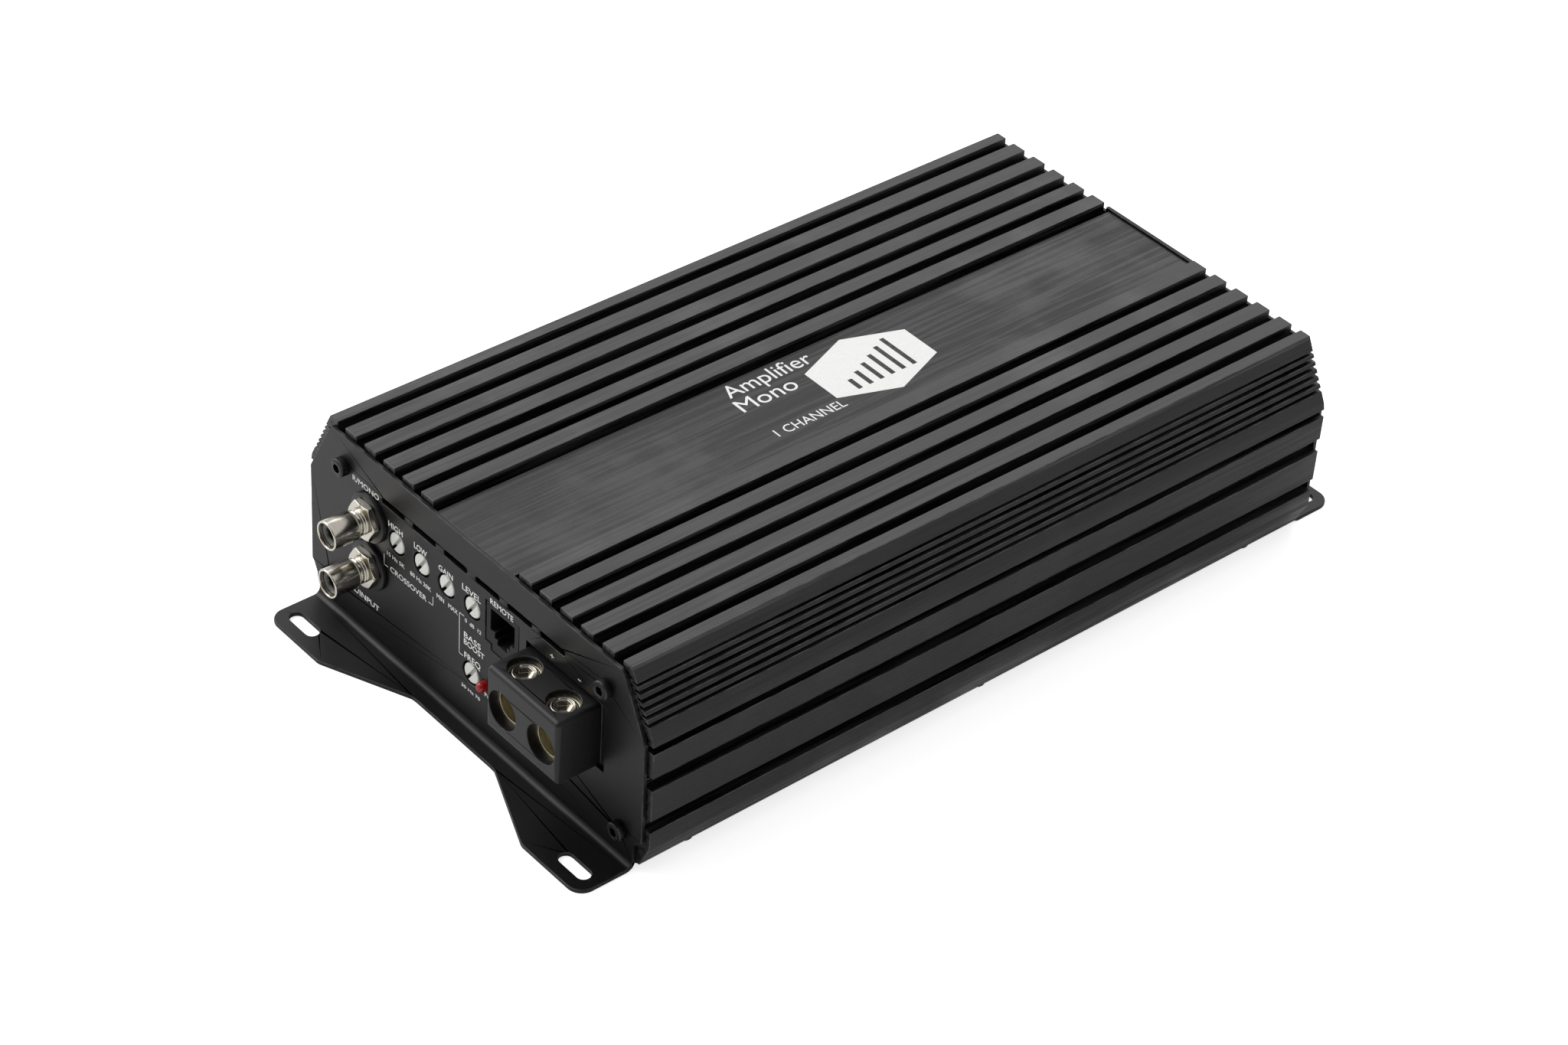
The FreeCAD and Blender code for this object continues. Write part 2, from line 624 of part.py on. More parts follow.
def power_terminal_inserts():
    inserts = []
    for x in POWER_PORTS.values():
        block = insert_block(x, OUT_PORT_Z, OUT_REACH, POWER_BORE_R, 6.6, 41.4)
        inserts.append(block.fuse(busbar(x, 22.0, OUT_PORT_Z - 6.6)))
    small = box(-3.0, 3.0, -OUT_REACH + MOUTH_DEPTH, 4.0, 29.6, 39.6)
    small = small.cut(rod_y(0, OUT_PORT_Z, TURN_ON_BORE_R, -OUT_REACH, 1.5))
    small = small.cut(rod_z(0, -OUT_REACH + SCREW_FROM_FACE, 1.65, OUT_PORT_Z, 41))
    inserts.append(small.fuse(busbar(0, 18.0, 29.6)))
    shape = Part.makeCompound(inserts)
    shape.rotate(FreeCAD.Vector(0, 0, 0), FreeCAD.Vector(0, 0, 1), 180)
    shape.translate(FreeCAD.Vector(0, Y_REAR, 0))
    return shape


def power_terminal_housing():
    nose = box(-POWER_HALF, POWER_HALF, -OUT_REACH, 7.0, POWER_Z0, POWER_Z1)
    soft = []
    for edge in nose.Edges:
        b = edge.BoundBox
        if b.YMax < 7.0 - 1e-6 or (b.YLength > 1 and b.ZMin > POWER_Z1 - 1e-6):
            soft.append(edge)
    nose = nose.makeFillet(1.3, soft)
    half = POWER_HALF + 1.6
    flange = box(-half, half, SHEET + 0.05, SHEET + 1.8, POWER_Z0 - 1.6, POWER_Z1 + 1.6)
    housing = nose.fuse(flange)
    for x in POWER_PORTS.values():
        housing = hollow_for_insert(housing, x, OUT_PORT_Z, OUT_REACH, 6.6, 41.4, 50)
    housing = housing.cut(box(-3.0, 3.0, -OUT_REACH + MOUTH_DEPTH, 8.0, 29.6, 39.6))
    housing = housing.cut(rod_y(0, OUT_PORT_Z, 2.4, -OUT_REACH - 1, -OUT_REACH + MOUTH_DEPTH + 0.1))
    housing = housing.cut(rod_z(0, -OUT_REACH + SCREW_FROM_FACE, 2.1, 39.5, 50))
    housing.rotate(FreeCAD.Vector(0, 0, 0), FreeCAD.Vector(0, 0, 1), 180)
    housing.translate(FreeCAD.Vector(0, Y_REAR, 0))
    return housing


def main_circuit_board():
    board = box(-BOARD_HALF, BOARD_HALF, Y_FRONT + 17.0, Y_REAR - 14.0, BOARD_Z0, BOARD_Z1)
    for x, y in STANDOFFS:
        board = board.cut(rod_z(x, y, 1.65, BOARD_Z0 - 1, BOARD_Z1 + 1))
    return board


def board_standoffs():
    posts = []
    for x, y in STANDOFFS:
        post = hex_z(x, y, 6.0, BODY_BOTTOM, BOARD_Z0)
        posts.append(post.cut(rod_z(x, y, TAP_R, 6.0, BOARD_Z0 + 1)))
    return Part.makeCompound(posts)


def board_screws():
    screws = []
    for x, y in STANDOFFS:
        head = rod_z(x, y, 2.7, BOARD_Z1, BOARD_Z1 + 1.8)
        shank = rod_z(x, y, SHANK_R, BOARD_Z0 - 6.0, BOARD_Z1)
        screws.append(head.fuse(shank).cut(hex_z(x, y, 2.0, BOARD_Z1 + 0.9, BOARD_Z1 + 3)))
    return Part.makeCompound(screws)


def control_board():
    """Upright board that carries the controls; it stands clear of the output block."""
    board = box(-52.0, 21.0, CONTROL_BOARD_Y, CONTROL_BOARD_Y + 1.6, 9.0, 48.0)
    return board.cut(rod_y(-48.0, 14.0, 1.6, CONTROL_BOARD_Y - 1, CONTROL_BOARD_Y + 3))


def board_link_header():
    """Right-angle pin header from the control board to the main board."""
    base = box(-20.0, 10.0, CONTROL_BOARD_Y + 1.6, CONTROL_BOARD_Y + 8.6, BOARD_Z1, BOARD_Z1 + 2.5)
    y0 = CONTROL_BOARD_Y + 8.6
    pins = []
    for k in range(11):
        x = -18.6 + 2.54 * k
        pins.append(box(x, x + 0.6, y0, y0 + 2.4, BOARD_Z1, BOARD_Z1 + 0.6))
    return base.fuse(pins)


def toroid(x, y, ring_r, wire_r):
    """Wound ring lying flat on the main board."""
    centre = FreeCAD.Vector(x, y, BOARD_Z1 + wire_r)
    return Part.makeTorus(ring_r, wire_r, centre, FreeCAD.Vector(0, 0, 1))


def power_transformer():
    return toroid(0.0, 40.0, 16.5, 7.0)


def transformer_clamp():
    """Dished washer over the winding and a bolt to the board."""
    disc = rod_z(0, 40.0, 13.0, BOARD_Z1 + 14.0, BOARD_Z1 + 15.2)
    bolt = rod_z(0, 40.0, 2.0, BOARD_Z1, BOARD_Z1 + 15.2)
    head = hex_z(0, 40.0, 7.0, BOARD_Z1 + 15.2, BOARD_Z1 + 18.0)
    return disc.fuse([bolt, head])


def output_inductor():
    return toroid(0.0, -50.0, 12.0, 5.5)


def supply_capacitors():
    cans = []
    for x, y in SUPPLY_CAPS:
        can = rod_z(x, y, 9.0, BOARD_Z1, BOARD_Z1 + 32.0)
        rim = [e for e in can.Edges if e.BoundBox.ZMin > BOARD_Z1 + 32.0 - 1e-6]
        cans.append(can.makeFillet(1.0, rim))
    return Part.makeCompound(cans)


def filter_capacitors():
    cases = []
    for x, y in FILTER_CAPS:
        case = box(x - 9.0, x + 9.0, y - 4.5, y + 4.5, BOARD_Z1, BOARD_Z1 + 15.0)
        cases.append(case.makeFillet(0.8, [e for e in case.Edges if e.BoundBox.ZMin > BOARD_Z1 + 1.0]))
    return Part.makeCompound(cases)


def power_transistors():
    """Flat-pack transistors stood against both side walls, three legs each down to the board."""
    devices = []
    for y in TRANSISTOR_Y:
        for side in (-1, 1):
            x = sorted((side * 59.6, side * (INNER_X - 0.5)))
            case = box(x[0], x[1], y - 5.0, y + 5.0, 20.0, 35.0)
            for k in (-1, 0, 1):
                leg = sorted((side * 60.0, side * 60.6))
                leg_y = y + 2.54 * k
                case = case.fuse(box(leg[0], leg[1], leg_y - 0.4, leg_y + 0.4, BOARD_Z1, 20.0))
            devices.append(case)
    return Part.makeCompound(devices)


def insulating_strips():
    strips = []
    for side in (-1, 1):
        x = sorted((side * (INNER_X - 0.5), side * INNER_X))
        strip = box(x[0], x[1], -92.0, 92.0, 18.5, 36.0)
        for y in CLAMP_BOLT_Y:
            strip = strip.cut(rod_x(y, CLAMP_BOLT_Z, 1.7, x[0] - 1, x[1] + 1))
        strips.append(strip)
    return Part.makeCompound(strips)


def transistor_clamps():
    bars = []
    for side in (-1, 1):
        x = sorted((side * 57.6, side * 59.6))
        bar = box(x[0], x[1], -90.0, 90.0, 26.0, 32.0)
        for y in CLAMP_BOLT_Y:
            bar = bar.cut(rod_x(y, CLAMP_BOLT_Z, 1.5, x[0] - 1, x[1] + 1))
        bars.append(bar)
    return Part.makeCompound(bars)


def clamp_bolts():
    bolts = []
    for side in (-1, 1):
        for y in CLAMP_BOLT_Y:
            head = sorted((side * 55.4, side * 57.6))
            shank = sorted((side * 57.6, side * 66.6))
            bolt = rod_x(y, CLAMP_BOLT_Z, 2.5, head[0], head[1])
            bolts.append(bolt.fuse(rod_x(y, CLAMP_BOLT_Z, 1.25, shank[0], shank[1])))
    return Part.makeCompound(bolts)


def driver_board():
    """Small upright board with two chips on its face."""
    board = box(-26.0, 26.0, -9.0, -7.4, BOARD_Z1, BOARD_Z1 + 26.0)
    for x in (-14.0, 12.0):
        board = board.fuse(box(x - 5.0, x + 5.0, -11.0, -9.0, BOARD_Z1 + 9.0, BOARD_Z1 + 17.0))
    return board


def save(name, shape):
    """Write one named node."""
    shape.exportStep("parts/" + name + ".step")


def save_clamp(name, x, screw_y, bore_top, r, length):
    save(name + "_pad", clamp_pad(x, screw_y, bore_top, r))
    save(name + "_screw", clamp_screw(x, screw_y, bore_top, r, length))


def main():
    os.makedirs("parts", exist_ok=True)
    save("heatsink_body", heatsink_body())
    save("bottom_cover", bottom_cover())
    save("bottom_cover_screws", bottom_cover_screws())
    save("front_end_plate", front_end_plate())
    save("rear_end_plate", rear_end_plate())
    save("front_plate_screws", plate_screws(Y_FRONT, -1))
    save("rear_plate_screws", plate_screws(Y_REAR, 1))
    for name, (x, z) in POTS.items():
        save(name + "_pot_body", pot_body(x, z))
        save(name + "_pot_shaft", pot_shaft(x, z))
    for name, z in RCA_Z.items():
        save("rca_" + name + "_shell", rca_shell(z))
        save("rca_" + name + "_insulator", rca_insulator(z))
        save("rca_" + name + "_contact", rca_contact(z))
    save("rca_flange_washers", rca_flange_washers())
    save("rca_nuts", rca_nuts())
    save("remote_jack_housing", remote_jack_housing())
    save("remote_jack_contacts", remote_jack_contacts())
    save("power_led", power_led())
    save("led_holder", led_holder())
    save("output_terminal_housing", output_terminal_housing())
    save("output_terminal_inserts", output_terminal_inserts())
    front_screw_y = Y_FRONT - OUT_REACH + SCREW_FROM_FACE
    for name, x in OUT_PORTS.items():
        save_clamp("output_" + name, x, front_screw_y, OUT_PORT_Z + OUT_BORE_R + 0.1, CLAMP_SCREW_R, 3.4)
    save("power_terminal_housing", power_terminal_housing())
    save("power_terminal_inserts", power_terminal_inserts())
    rear_screw_y = Y_REAR + OUT_REACH - SCREW_FROM_FACE
    for name, x in POWER_PORTS.items():
        save_clamp("power_" + name, -x, rear_screw_y, OUT_PORT_Z + POWER_BORE_R + 0.1, CLAMP_SCREW_R, 3.2)
    save_clamp("power_turn_on", 0.0, rear_screw_y, OUT_PORT_Z + TURN_ON_BORE_R + 0.1, 1.6, 3.6)
    save("main_circuit_board", main_circuit_board())
    save("board_standoffs", board_standoffs())
    save("board_screws", board_screws())
    save("control_board", control_board())
    save("board_link_header", board_link_header())
    save("power_transformer", power_transformer())
    save("transformer_clamp", transformer_clamp())
    save("output_inductor", output_inductor())
    save("supply_capacitors", supply_capacitors())
    save("filter_capacitors", filter_capacitors())
    save("power_transistors", power_transistors())
    save("insulating_strips", insulating_strips())
    save("transistor_clamps", transistor_clamps())
    save("clamp_bolts", clamp_bolts())
    save("driver_board", driver_board())


main()
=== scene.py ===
"""Looks of a car audio power amplifier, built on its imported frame.

Lengths in the classes are in millimetres and are turned to metres where a mesh is made. The control end faces
-Y, the supply end +Y, and +Z is up from the mounting surface.
"""

import json
import logging
from contextlib import contextmanager
from dataclasses import dataclass, field
from enum import Enum
from math import atan2, cos, hypot, pi, radians, sin, sqrt, tau
from typing import Callable, Iterator, Sequence

import bmesh
import bpy
from mathutils import Euler, Matrix, Vector

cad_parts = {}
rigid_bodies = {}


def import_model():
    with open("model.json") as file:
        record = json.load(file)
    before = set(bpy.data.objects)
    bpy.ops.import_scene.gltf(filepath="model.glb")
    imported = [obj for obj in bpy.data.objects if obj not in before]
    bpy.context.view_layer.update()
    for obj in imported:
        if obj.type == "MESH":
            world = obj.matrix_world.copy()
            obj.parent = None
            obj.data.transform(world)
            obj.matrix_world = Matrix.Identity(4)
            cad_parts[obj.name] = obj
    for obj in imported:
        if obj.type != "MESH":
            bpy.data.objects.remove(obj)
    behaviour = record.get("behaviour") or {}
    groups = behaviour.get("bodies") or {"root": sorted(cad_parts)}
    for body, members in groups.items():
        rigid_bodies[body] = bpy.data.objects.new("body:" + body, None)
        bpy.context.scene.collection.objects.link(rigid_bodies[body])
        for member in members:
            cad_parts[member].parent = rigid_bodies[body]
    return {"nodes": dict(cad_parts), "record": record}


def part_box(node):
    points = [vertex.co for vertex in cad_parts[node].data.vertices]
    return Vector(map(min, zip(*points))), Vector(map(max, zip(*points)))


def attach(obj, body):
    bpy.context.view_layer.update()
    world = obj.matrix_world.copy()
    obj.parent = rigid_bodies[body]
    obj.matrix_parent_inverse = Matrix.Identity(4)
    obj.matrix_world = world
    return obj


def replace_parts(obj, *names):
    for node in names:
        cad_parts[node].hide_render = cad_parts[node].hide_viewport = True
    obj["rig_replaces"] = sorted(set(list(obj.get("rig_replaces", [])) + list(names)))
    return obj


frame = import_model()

log = logging.getLogger("amplifier")

Piece = bpy.types.Object
Socket = bpy.types.NodeSocket
Node = bpy.types.Node
NodeTree = bpy.types.NodeTree
Colour = tuple[float, float, float]
Outline = list[tuple[float, float]]
MM = 0.001
WELD = 2e-6
SMUDGE_SCALE = 24.0
EDGE_RUB_AND_HIGHLIGHT_SCALE = 190.0
CASE = "case"


class Facing(Enum):
    """Which way a piece's own +Z points once it is in place."""

    FRONT = Matrix.Rotation(pi / 2, 4, "X")
    REAR = Matrix.Rotation(-pi / 2, 4, "X")
    UP = Matrix.Identity(4)
    DOWN = Matrix.Rotation(pi, 4, "X")


class Grain(Enum):
    """Small-scale texture of a finish, named by the node group that draws it."""

    LENGTHWISE = "Lengthwise Grain"
    STIPPLE = "Fine Stipple"
    TURNED = "Turned Rings"


# Mesh tools


def clear_selection() -> None:
    """Leave no object selected."""
    bpy.ops.object.select_all(action="DESELECT")


def activate(piece: Piece) -> None:
    """Select one object alone and make it active.

    Args:
        piece: The object that the next operator works on.
    """
    clear_selection()
    piece.select_set(True)
    bpy.context.view_layer.objects.active = piece


@contextmanager
def edit_mode(piece: Piece) -> Iterator[None]:
    """Hold a piece in edit mode.

    Args:
        piece: The mesh object to edit.
    """
    activate(piece)
    bpy.ops.object.mode_set(mode="EDIT")
    try:
        yield
    finally:
        bpy.ops.object.mode_set(mode="OBJECT")


def select_faces(piece: Piece, wanted: Callable[[Vector, Vector], bool]) -> None:
    """Select faces in edit mode by where they are and which way they look.

    Args:
        piece: The mesh object in edit mode.
        wanted: Takes a face's centre in millimetres and its normal, and says whether it is selected.
    """
    bpy.ops.mesh.select_mode(type="FACE")
    bpy.ops.mesh.select_all(action="DESELECT")
    mesh = bmesh.from_edit_mesh(piece.data)
    for face in mesh.faces:
        face.select_set(wanted(face.calc_center_median() / MM, face.normal))
    bmesh.update_edit_mesh(piece.data)


def select_points(piece: Piece, wanted: Callable[[Vector], bool]) -> None:
    """Select vertices in edit mode by their place.

    Args:
        piece: The mesh object in edit mode.
        wanted: Takes a vertex's place in millimetres, and says whether it is selected.
    """
    bpy.ops.mesh.select_mode(type="VERT")
    bpy.ops.mesh.select_all(action="DESELECT")
    mesh = bmesh.from_edit_mesh(piece.data)
    for point in mesh.verts:
        point.select_set(wanted(point.co / MM))
    mesh.select_flush_mode()
    bmesh.update_edit_mesh(piece.data)


def apply_modifier(piece: Piece, kind: str, **settings: object) -> None:
    """Add a modifier to a piece and apply it.

    Args:
        piece: The mesh object that is changed.
        kind: Blender's name of the modifier type.
        settings: Properties to set on the modifier.
    """
    activate(piece)
    modifier = piece.modifiers.new(kind.title(), kind)
    for key, value in settings.items():
        setattr(modifier, key, value)
    bpy.ops.object.modifier_apply(modifier=modifier.name)


def combine(piece: Piece, tool: Piece, operation: str) -> None:
    """Cut a piece with a tool shape, or keep what both share, and throw the tool away.

    Args:
        piece: The mesh object that is changed.
        tool: The mesh object that cuts it.
        operation: DIFFERENCE, INTERSECT or UNION.
    """
    apply_modifier(piece, "BOOLEAN", object=tool, operation=operation, solver="EXACT")
    bpy.data.objects.remove(tool, do_unlink=True)


def smooth(piece: Piece, degrees: float = 35.0) -> None:
    """Shade a piece smooth where its faces meet at less than an angle.

    Args:
        piece: The mesh object to shade.
        degrees: Edges sharper than this stay sharp.
    """
    activate(piece)
    bpy.ops.object.shade_smooth_by_angle(angle=radians(degrees))


def soften_edges(piece: Piece, width: float, degrees: float = 38.0, segments: int = 2) -> None:
    """Round the sharp edges a little and mark the new faces in the attribute broken_edge.

    Args:
        piece: The mesh object that is changed.
        width: Bevel width in millimetres.
        degrees: Edges sharper than this are rounded.
        segments: Faces across each rounded edge.
    """
    mesh = piece.data
    mesh.materials.clear()
    mesh.materials.append(None)
    mesh.materials.append(None)
    mesh.polygons.foreach_set("use_smooth", [True] * len(mesh.polygons))
    apply_modifier(
        piece,
        "BEVEL",
        width=width * MM,
        segments=segments,
        limit_method="ANGLE",
        angle_limit=radians(degrees),
        use_clamp_overlap=False,
        face_strength_mode="FSTR_ALL",
        material=1,
    )
    rounded = [float(face.material_index == 1) for face in mesh.polygons]
    marks = mesh.attributes.new("broken_edge", "FLOAT", "FACE")
    marks.data.foreach_set("value", rounded)
    mesh.polygons.foreach_set("material_index", [0] * len(mesh.polygons))
    mesh.materials.clear()
    apply_modifier(
        piece, "WEIGHTED_NORMAL", mode="FACE_AREA", weight=90, keep_sharp=True, use_face_influence=True
    )


def settle(piece: Piece, where: Matrix) -> Piece:
    """Move a piece and bake the move into its mesh, which leaves the object at the origin.

    Args:
        piece: The mesh object to move.
        where: Its place in metres.

    Returns:
        The same object.
    """
    piece.matrix_world = where
    activate(piece)
    bpy.ops.object.transform_apply(location=True, rotation=True, scale=True)
    return piece


def at(x: float, y: float, z: float, facing: Facing = Facing.UP) -> Matrix:
    """Place of a piece that was modelled round the origin.

    Args:
        x: Right of the middle, in millimetres.
        y: Towards the supply end, in millimetres.
        z: Above the mounting surface, in millimetres.
        facing: Which way the piece's own +Z points.

    Returns:
        The matrix in metres.
    """
    return Matrix.Translation(Vector((x, y, z)) * MM) @ facing.value


def twin(piece: Piece, where: Matrix) -> Piece:
    """Copy a piece with a mesh of its own and settle the copy.

    Args:
        piece: The master, modelled round the origin.
        where: The copy's place in metres.

    Returns:
        The copy.
    """
    copy = piece.copy()
    copy.data = piece.data.copy()
    bpy.context.collection.objects.link(copy)
    return settle(copy, where)


def discard(piece: Piece) -> None:
    """Remove a master once its copies are made."""
    bpy.data.objects.remove(piece, do_unlink=True)


def lathe(outline: Outline, steps: int = 64) -> Piece:
    """Spin an outline round the Z axis.

    Args:
        outline: Points of (radius, height) in millimetres; a ring ends on its first point.
        steps: Faces round the axis.

    Returns:
        The closed mesh object.
    """
    clear_selection()
    bpy.ops.mesh.primitive_plane_add(size=MM)
    piece = bpy.context.object
    with edit_mode(piece):
        bpy.ops.mesh.select_mode(type="VERT")
        bpy.ops.mesh.select_all(action="SELECT")
        bpy.ops.mesh.merge(type="CENTER")
        radius, height = outline[0]
        bpy.ops.transform.translate(value=(radius * MM, 0, height * MM))
        for (r0, h0), (r1, h1) in zip(outline, outline[1:]):
            step = ((r1 - r0) * MM, 0, (h1 - h0) * MM)
            bpy.ops.mesh.extrude_vertices_move(TRANSFORM_OT_translate={"value": step})
        bpy.ops.mesh.select_all(action="SELECT")
        bpy.ops.mesh.spin(steps=steps, angle=tau, center=(0, 0, 0), axis=(0, 0, 1))
        bpy.ops.mesh.select_all(action="SELECT")
        bpy.ops.mesh.remove_doubles(threshold=1e-6)
        bpy.ops.mesh.normals_make_consistent(inside=False)
    return piece


def bar(sides: int, across_corners: float, low: float, high: float) -> Piece:
    """Upright bar round the Z axis, as a blank or a cutting tool.

    Args:
        sides: Number of sides.
        across_corners: Diameter over the corners in millimetres.
        low: Height of its lower end.
        high: Height of its upper end.

    Returns:
        The mesh object, with a corner on +X.
    """
    clear_selection()
    bpy.ops.mesh.primitive_cylinder_add(
        vertices=sides,
        radius=across_corners / 2 * MM,
        depth=(high - low) * MM,
        location=(0, 0, (low + high) / 2 * MM),
        rotation=(0, 0, pi / 2),
    )
    bpy.ops.object.transform_apply(location=True, rotation=True, scale=True)
    return bpy.context.object


def socket_tool(across_flats: float, low: float, high: float) -> Piece:
    """Hexagonal bar that cuts a key socket."""
    return bar(6, across_flats * 2 / sqrt(3), low, high)


def thread(radius: float, low: float, high: float, pitch: float) -> Outline:
    """Ridges along the outside of a turned piece.

    Args:
        radius: Crest radius in millimetres.
        low: Height where the thread starts.
        high: Height where it ends.
        pitch: Distance from crest to crest.

    Returns:
        Points of (radius, height), from low to high.
    """
    turns = int((high - low) / pitch)
    pitch = (high - low) / turns
    points: Outline = []
    for turn in range(turns):
        start = low + turn * pitch
        points += [(radius - 0.45 * pitch, start), (radius, start + 0.4 * pitch), (radius, start + 0.6 * pitch)]
    return points


def softened(node: str, width: float, degrees: float = 38.0) -> Piece:
    """Copy a CAD node, weld its seams and round its edges.

    Args:
        node: Name of the CAD node.
        width: Bevel width in millimetres.
        degrees: Edges sharper than this are rounded.

    Returns:
        The copy, which rides on nothing yet.
    """
    source = frame["nodes"][node]
    copy = bpy.data.objects.new(node + "_finished", source.data.copy())
    bpy.context.collection.objects.link(copy)
    with edit_mode(copy):
        bpy.ops.mesh.select_all(action="SELECT")
        bpy.ops.mesh.remove_doubles(threshold=WELD)
        bpy.ops.mesh.customdata_custom_splitnormals_clear()
    soften_edges(copy, width, degrees)
    return copy


def span(node: str) -> tuple[Vector, Vector]:
    """A CAD node's box at rest.

    Args:
        node: Name of the CAD node.

    Returns:
        Its lowest and highest corners in millimetres.
    """
    low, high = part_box(node)
    return Vector(low) / MM, Vector(high) / MM


# Materials


@dataclass
class Wiring:
    """Adds nodes to a tree and joins them.

    Attributes:
        tree: The node tree that grows.
    """

    tree: NodeTree

    def add(self, kind: str, inputs: dict[str | int, object] | None = None, **settings: object) -> Node:
        """Add a node.

        Args:
            kind: Node type, without the ShaderNode prefix where it is a shader node.
            inputs: Socket name or number, with a constant or another node's output socket.
            settings: Properties to set on the node before its inputs.

        Returns:
            The new node.
        """
        prefix = "" if kind.startswith("NodeGroup") else "ShaderNode"
        node = self.tree.nodes.new(prefix + kind)
        for key, value in settings.items():
            setattr(node, key, value)
        for key, value in (inputs or {}).items():
            if isinstance(value, Socket):
                self.tree.links.new(value, node.inputs[key])
            else:
                node.inputs[key].default_value = value
        return node

    def math(self, operation: str, a: object, b: object = 0.0, clamp: bool = False) -> Socket:
        """Join two numbers or sockets with a Math node.

        Args:
            operation: Blender's name of the operation.
            a: First number or socket.
            b: Second number or socket.
            clamp: Whether the result is kept between 0 and 1.

        Returns:
            The result's socket.
        """
        node = self.add("Math", {0: a, 1: b}, operation=operation, use_clamp=clamp)
        return node.outputs[0]

    def remap(self, value: Socket, low: float, high: float) -> Socket:
        """Stretch a value so that low becomes 0 and high becomes 1.

        Args:
            value: The socket to stretch.
            low: What becomes 0.
            high: What becomes 1.

        Returns:
            The result's socket.
        """
        node = self.add("MapRange", {"Value": value, "From Min": low, "From Max": high})
        return node.outputs["Result"]

    def blend(self, mask: object, low: object, high: object) -> Socket:
        """Mix two colours by a mask.

        Args:
            mask: Socket or number, 0 for low and 1 for high.
            low: Colour or socket.
            high: Colour or socket.

        Returns:
            The mixed colour's socket.
        """
        node = self.add("Mix", data_type="RGBA")
        for name, value in (("Factor", mask), ("A", low), ("B", high)):
            port = next(p for p in node.inputs if p.name == name and p.enabled)
            if isinstance(value, Socket):
                self.tree.links.new(value, port)
            else:
                port.default_value = value
        return next(p for p in node.outputs if p.enabled)


def rgba(colour: Colour) -> tuple[float, float, float, float]:
    """A colour with full alpha."""
    return (*colour, 1.0)


@dataclass(frozen=True)
class Pattern:
    """A node group that draws one small-scale effect from Object coordinates.

    Attributes:
        name: The group's name.
        numbers: Names of its number inputs, after Vector.
        draw: Adds the group's nodes, given its wiring and its inputs, and returns the output socket.
    """

    name: str
    numbers: tuple[str, ...]
    draw: Callable[[Wiring, Node], Socket]

    def group(self) -> NodeTree:
        """Make the node group, or find it if it is made already.

        Returns:
            The group, whose output is Mask.
        """
        made = bpy.data.node_groups.get(self.name)
        if made:
            return made
        tree = bpy.data.node_groups.new(self.name, "ShaderNodeTree")
        tree.interface.new_socket(name="Vector", in_out="INPUT", socket_type="NodeSocketVector")
        for number in self.numbers:
            tree.interface.new_socket(name=number, in_out="INPUT", socket_type="NodeSocketFloat")
        tree.interface.new_socket(name="Mask", in_out="OUTPUT", socket_type="NodeSocketFloat")
        wiring = Wiring(tree)
        entry = wiring.add("NodeGroupInput")
        wiring.add("NodeGroupOutput", {"Mask": self.draw(wiring, entry)})
        return tree

    def use(self, wiring: Wiring, vector: Socket, **numbers: float) -> Socket:
        """Put the group in a material.

        Args:
            wiring: The material's wiring.
            vector: Object coordinates in metres.
            numbers: Values of the group's number inputs.

        Returns:
            The Mask socket.
        """
        node = wiring.add("Group", node_tree=self.group())
        wiring.tree.links.new(vector, node.inputs["Vector"])
        for key, value in numbers.items():
            node.inputs[key].default_value = value
        return node.outputs["Mask"]


def scaled(wiring: Wiring, vector: object, factors: Colour) -> Socket:
    """Multiply a vector by three factors."""
    node = wiring.add("VectorMath", {0: vector, 1: factors}, operation="MULTIPLY")
    return node.outputs["Vector"]


def noise(wiring: Wiring, vector: object, scale: object, detail: float = 3.0) -> Socket:
    """Noise texture's value.

    Args:
        wiring: Where the nodes go.
        vector: Coordinates socket.
        scale: Number or socket, in cells a metre.
        detail: Octaves.

    Returns:
        The value's socket, about 0.3 to 0.7.
    """
    node = wiring.add("TexNoise", {"Vector": vector, "Scale": scale, "Detail": detail, "Roughness": 0.6})
    return node.outputs[0]


def draw_lengthwise(wiring: Wiring, entry: Node) -> Socket:
    """Scratches that run along Y, fine and coarse together."""
    stretched = scaled(wiring, entry.outputs["Vector"], (1.0, 0.025, 1.0))
    return wiring.remap(noise(wiring, stretched, entry.outputs["Fineness"], 4.0), 0.42, 0.58)


def draw_stipple(wiring: Wiring, entry: Node) -> Socket:
    """Even small bumps of a powder coat or a moulding texture."""
    return wiring.remap(noise(wiring, entry.outputs["Vector"], entry.outputs["Fineness"], 2.0), 0.3, 0.7)


def draw_turned(wiring: Wiring, entry: Node) -> Socket:
    """Tool marks round a turned piece, with a little unevenness round them."""
    stretched = scaled(wiring, entry.outputs["Vector"], (0.05, 1.0, 0.05))
    return wiring.remap(noise(wiring, stretched, entry.outputs["Fineness"], 2.0), 0.3, 0.7)


def draw_smudges(wiring: Wiring, entry: Node) -> Socket:
    """Soft patches where hands have been."""
    return wiring.remap(noise(wiring, entry.outputs["Vector"], SMUDGE_SCALE, 4.0), 0.5, 0.72)


def draw_edge_rub_and_highlight(wiring: Wiring, entry: Node) -> Socket:
    """Broken edges, with wear in places and a painted highlight along them."""
    marks = wiring.add("Attribute", attribute_name="broken_edge", attribute_type="GEOMETRY")
    rubbed_and_lit = wiring.remap(noise(wiring, entry.outputs["Vector"], EDGE_RUB_AND_HIGHLIGHT_SCALE, 4.0), 0.4, 0.62)
    return wiring.math("MULTIPLY", marks.outputs["Fac"], rubbed_and_lit, clamp=True)


def draw_turns(wiring: Wiring, entry: Node) -> Socket:
    """Wire turns round a ring that stands on the board."""
    parts = wiring.add("SeparateXYZ", {0: entry.outputs["Vector"]})
    angle = wiring.math("ARCTAN2", parts.outputs["Y"], parts.outputs["X"])
    wave = wiring.math("SINE", wiring.math("MULTIPLY", angle, entry.outputs["Turns"]))
    return wiring.remap(wave, -1.0, 1.0)


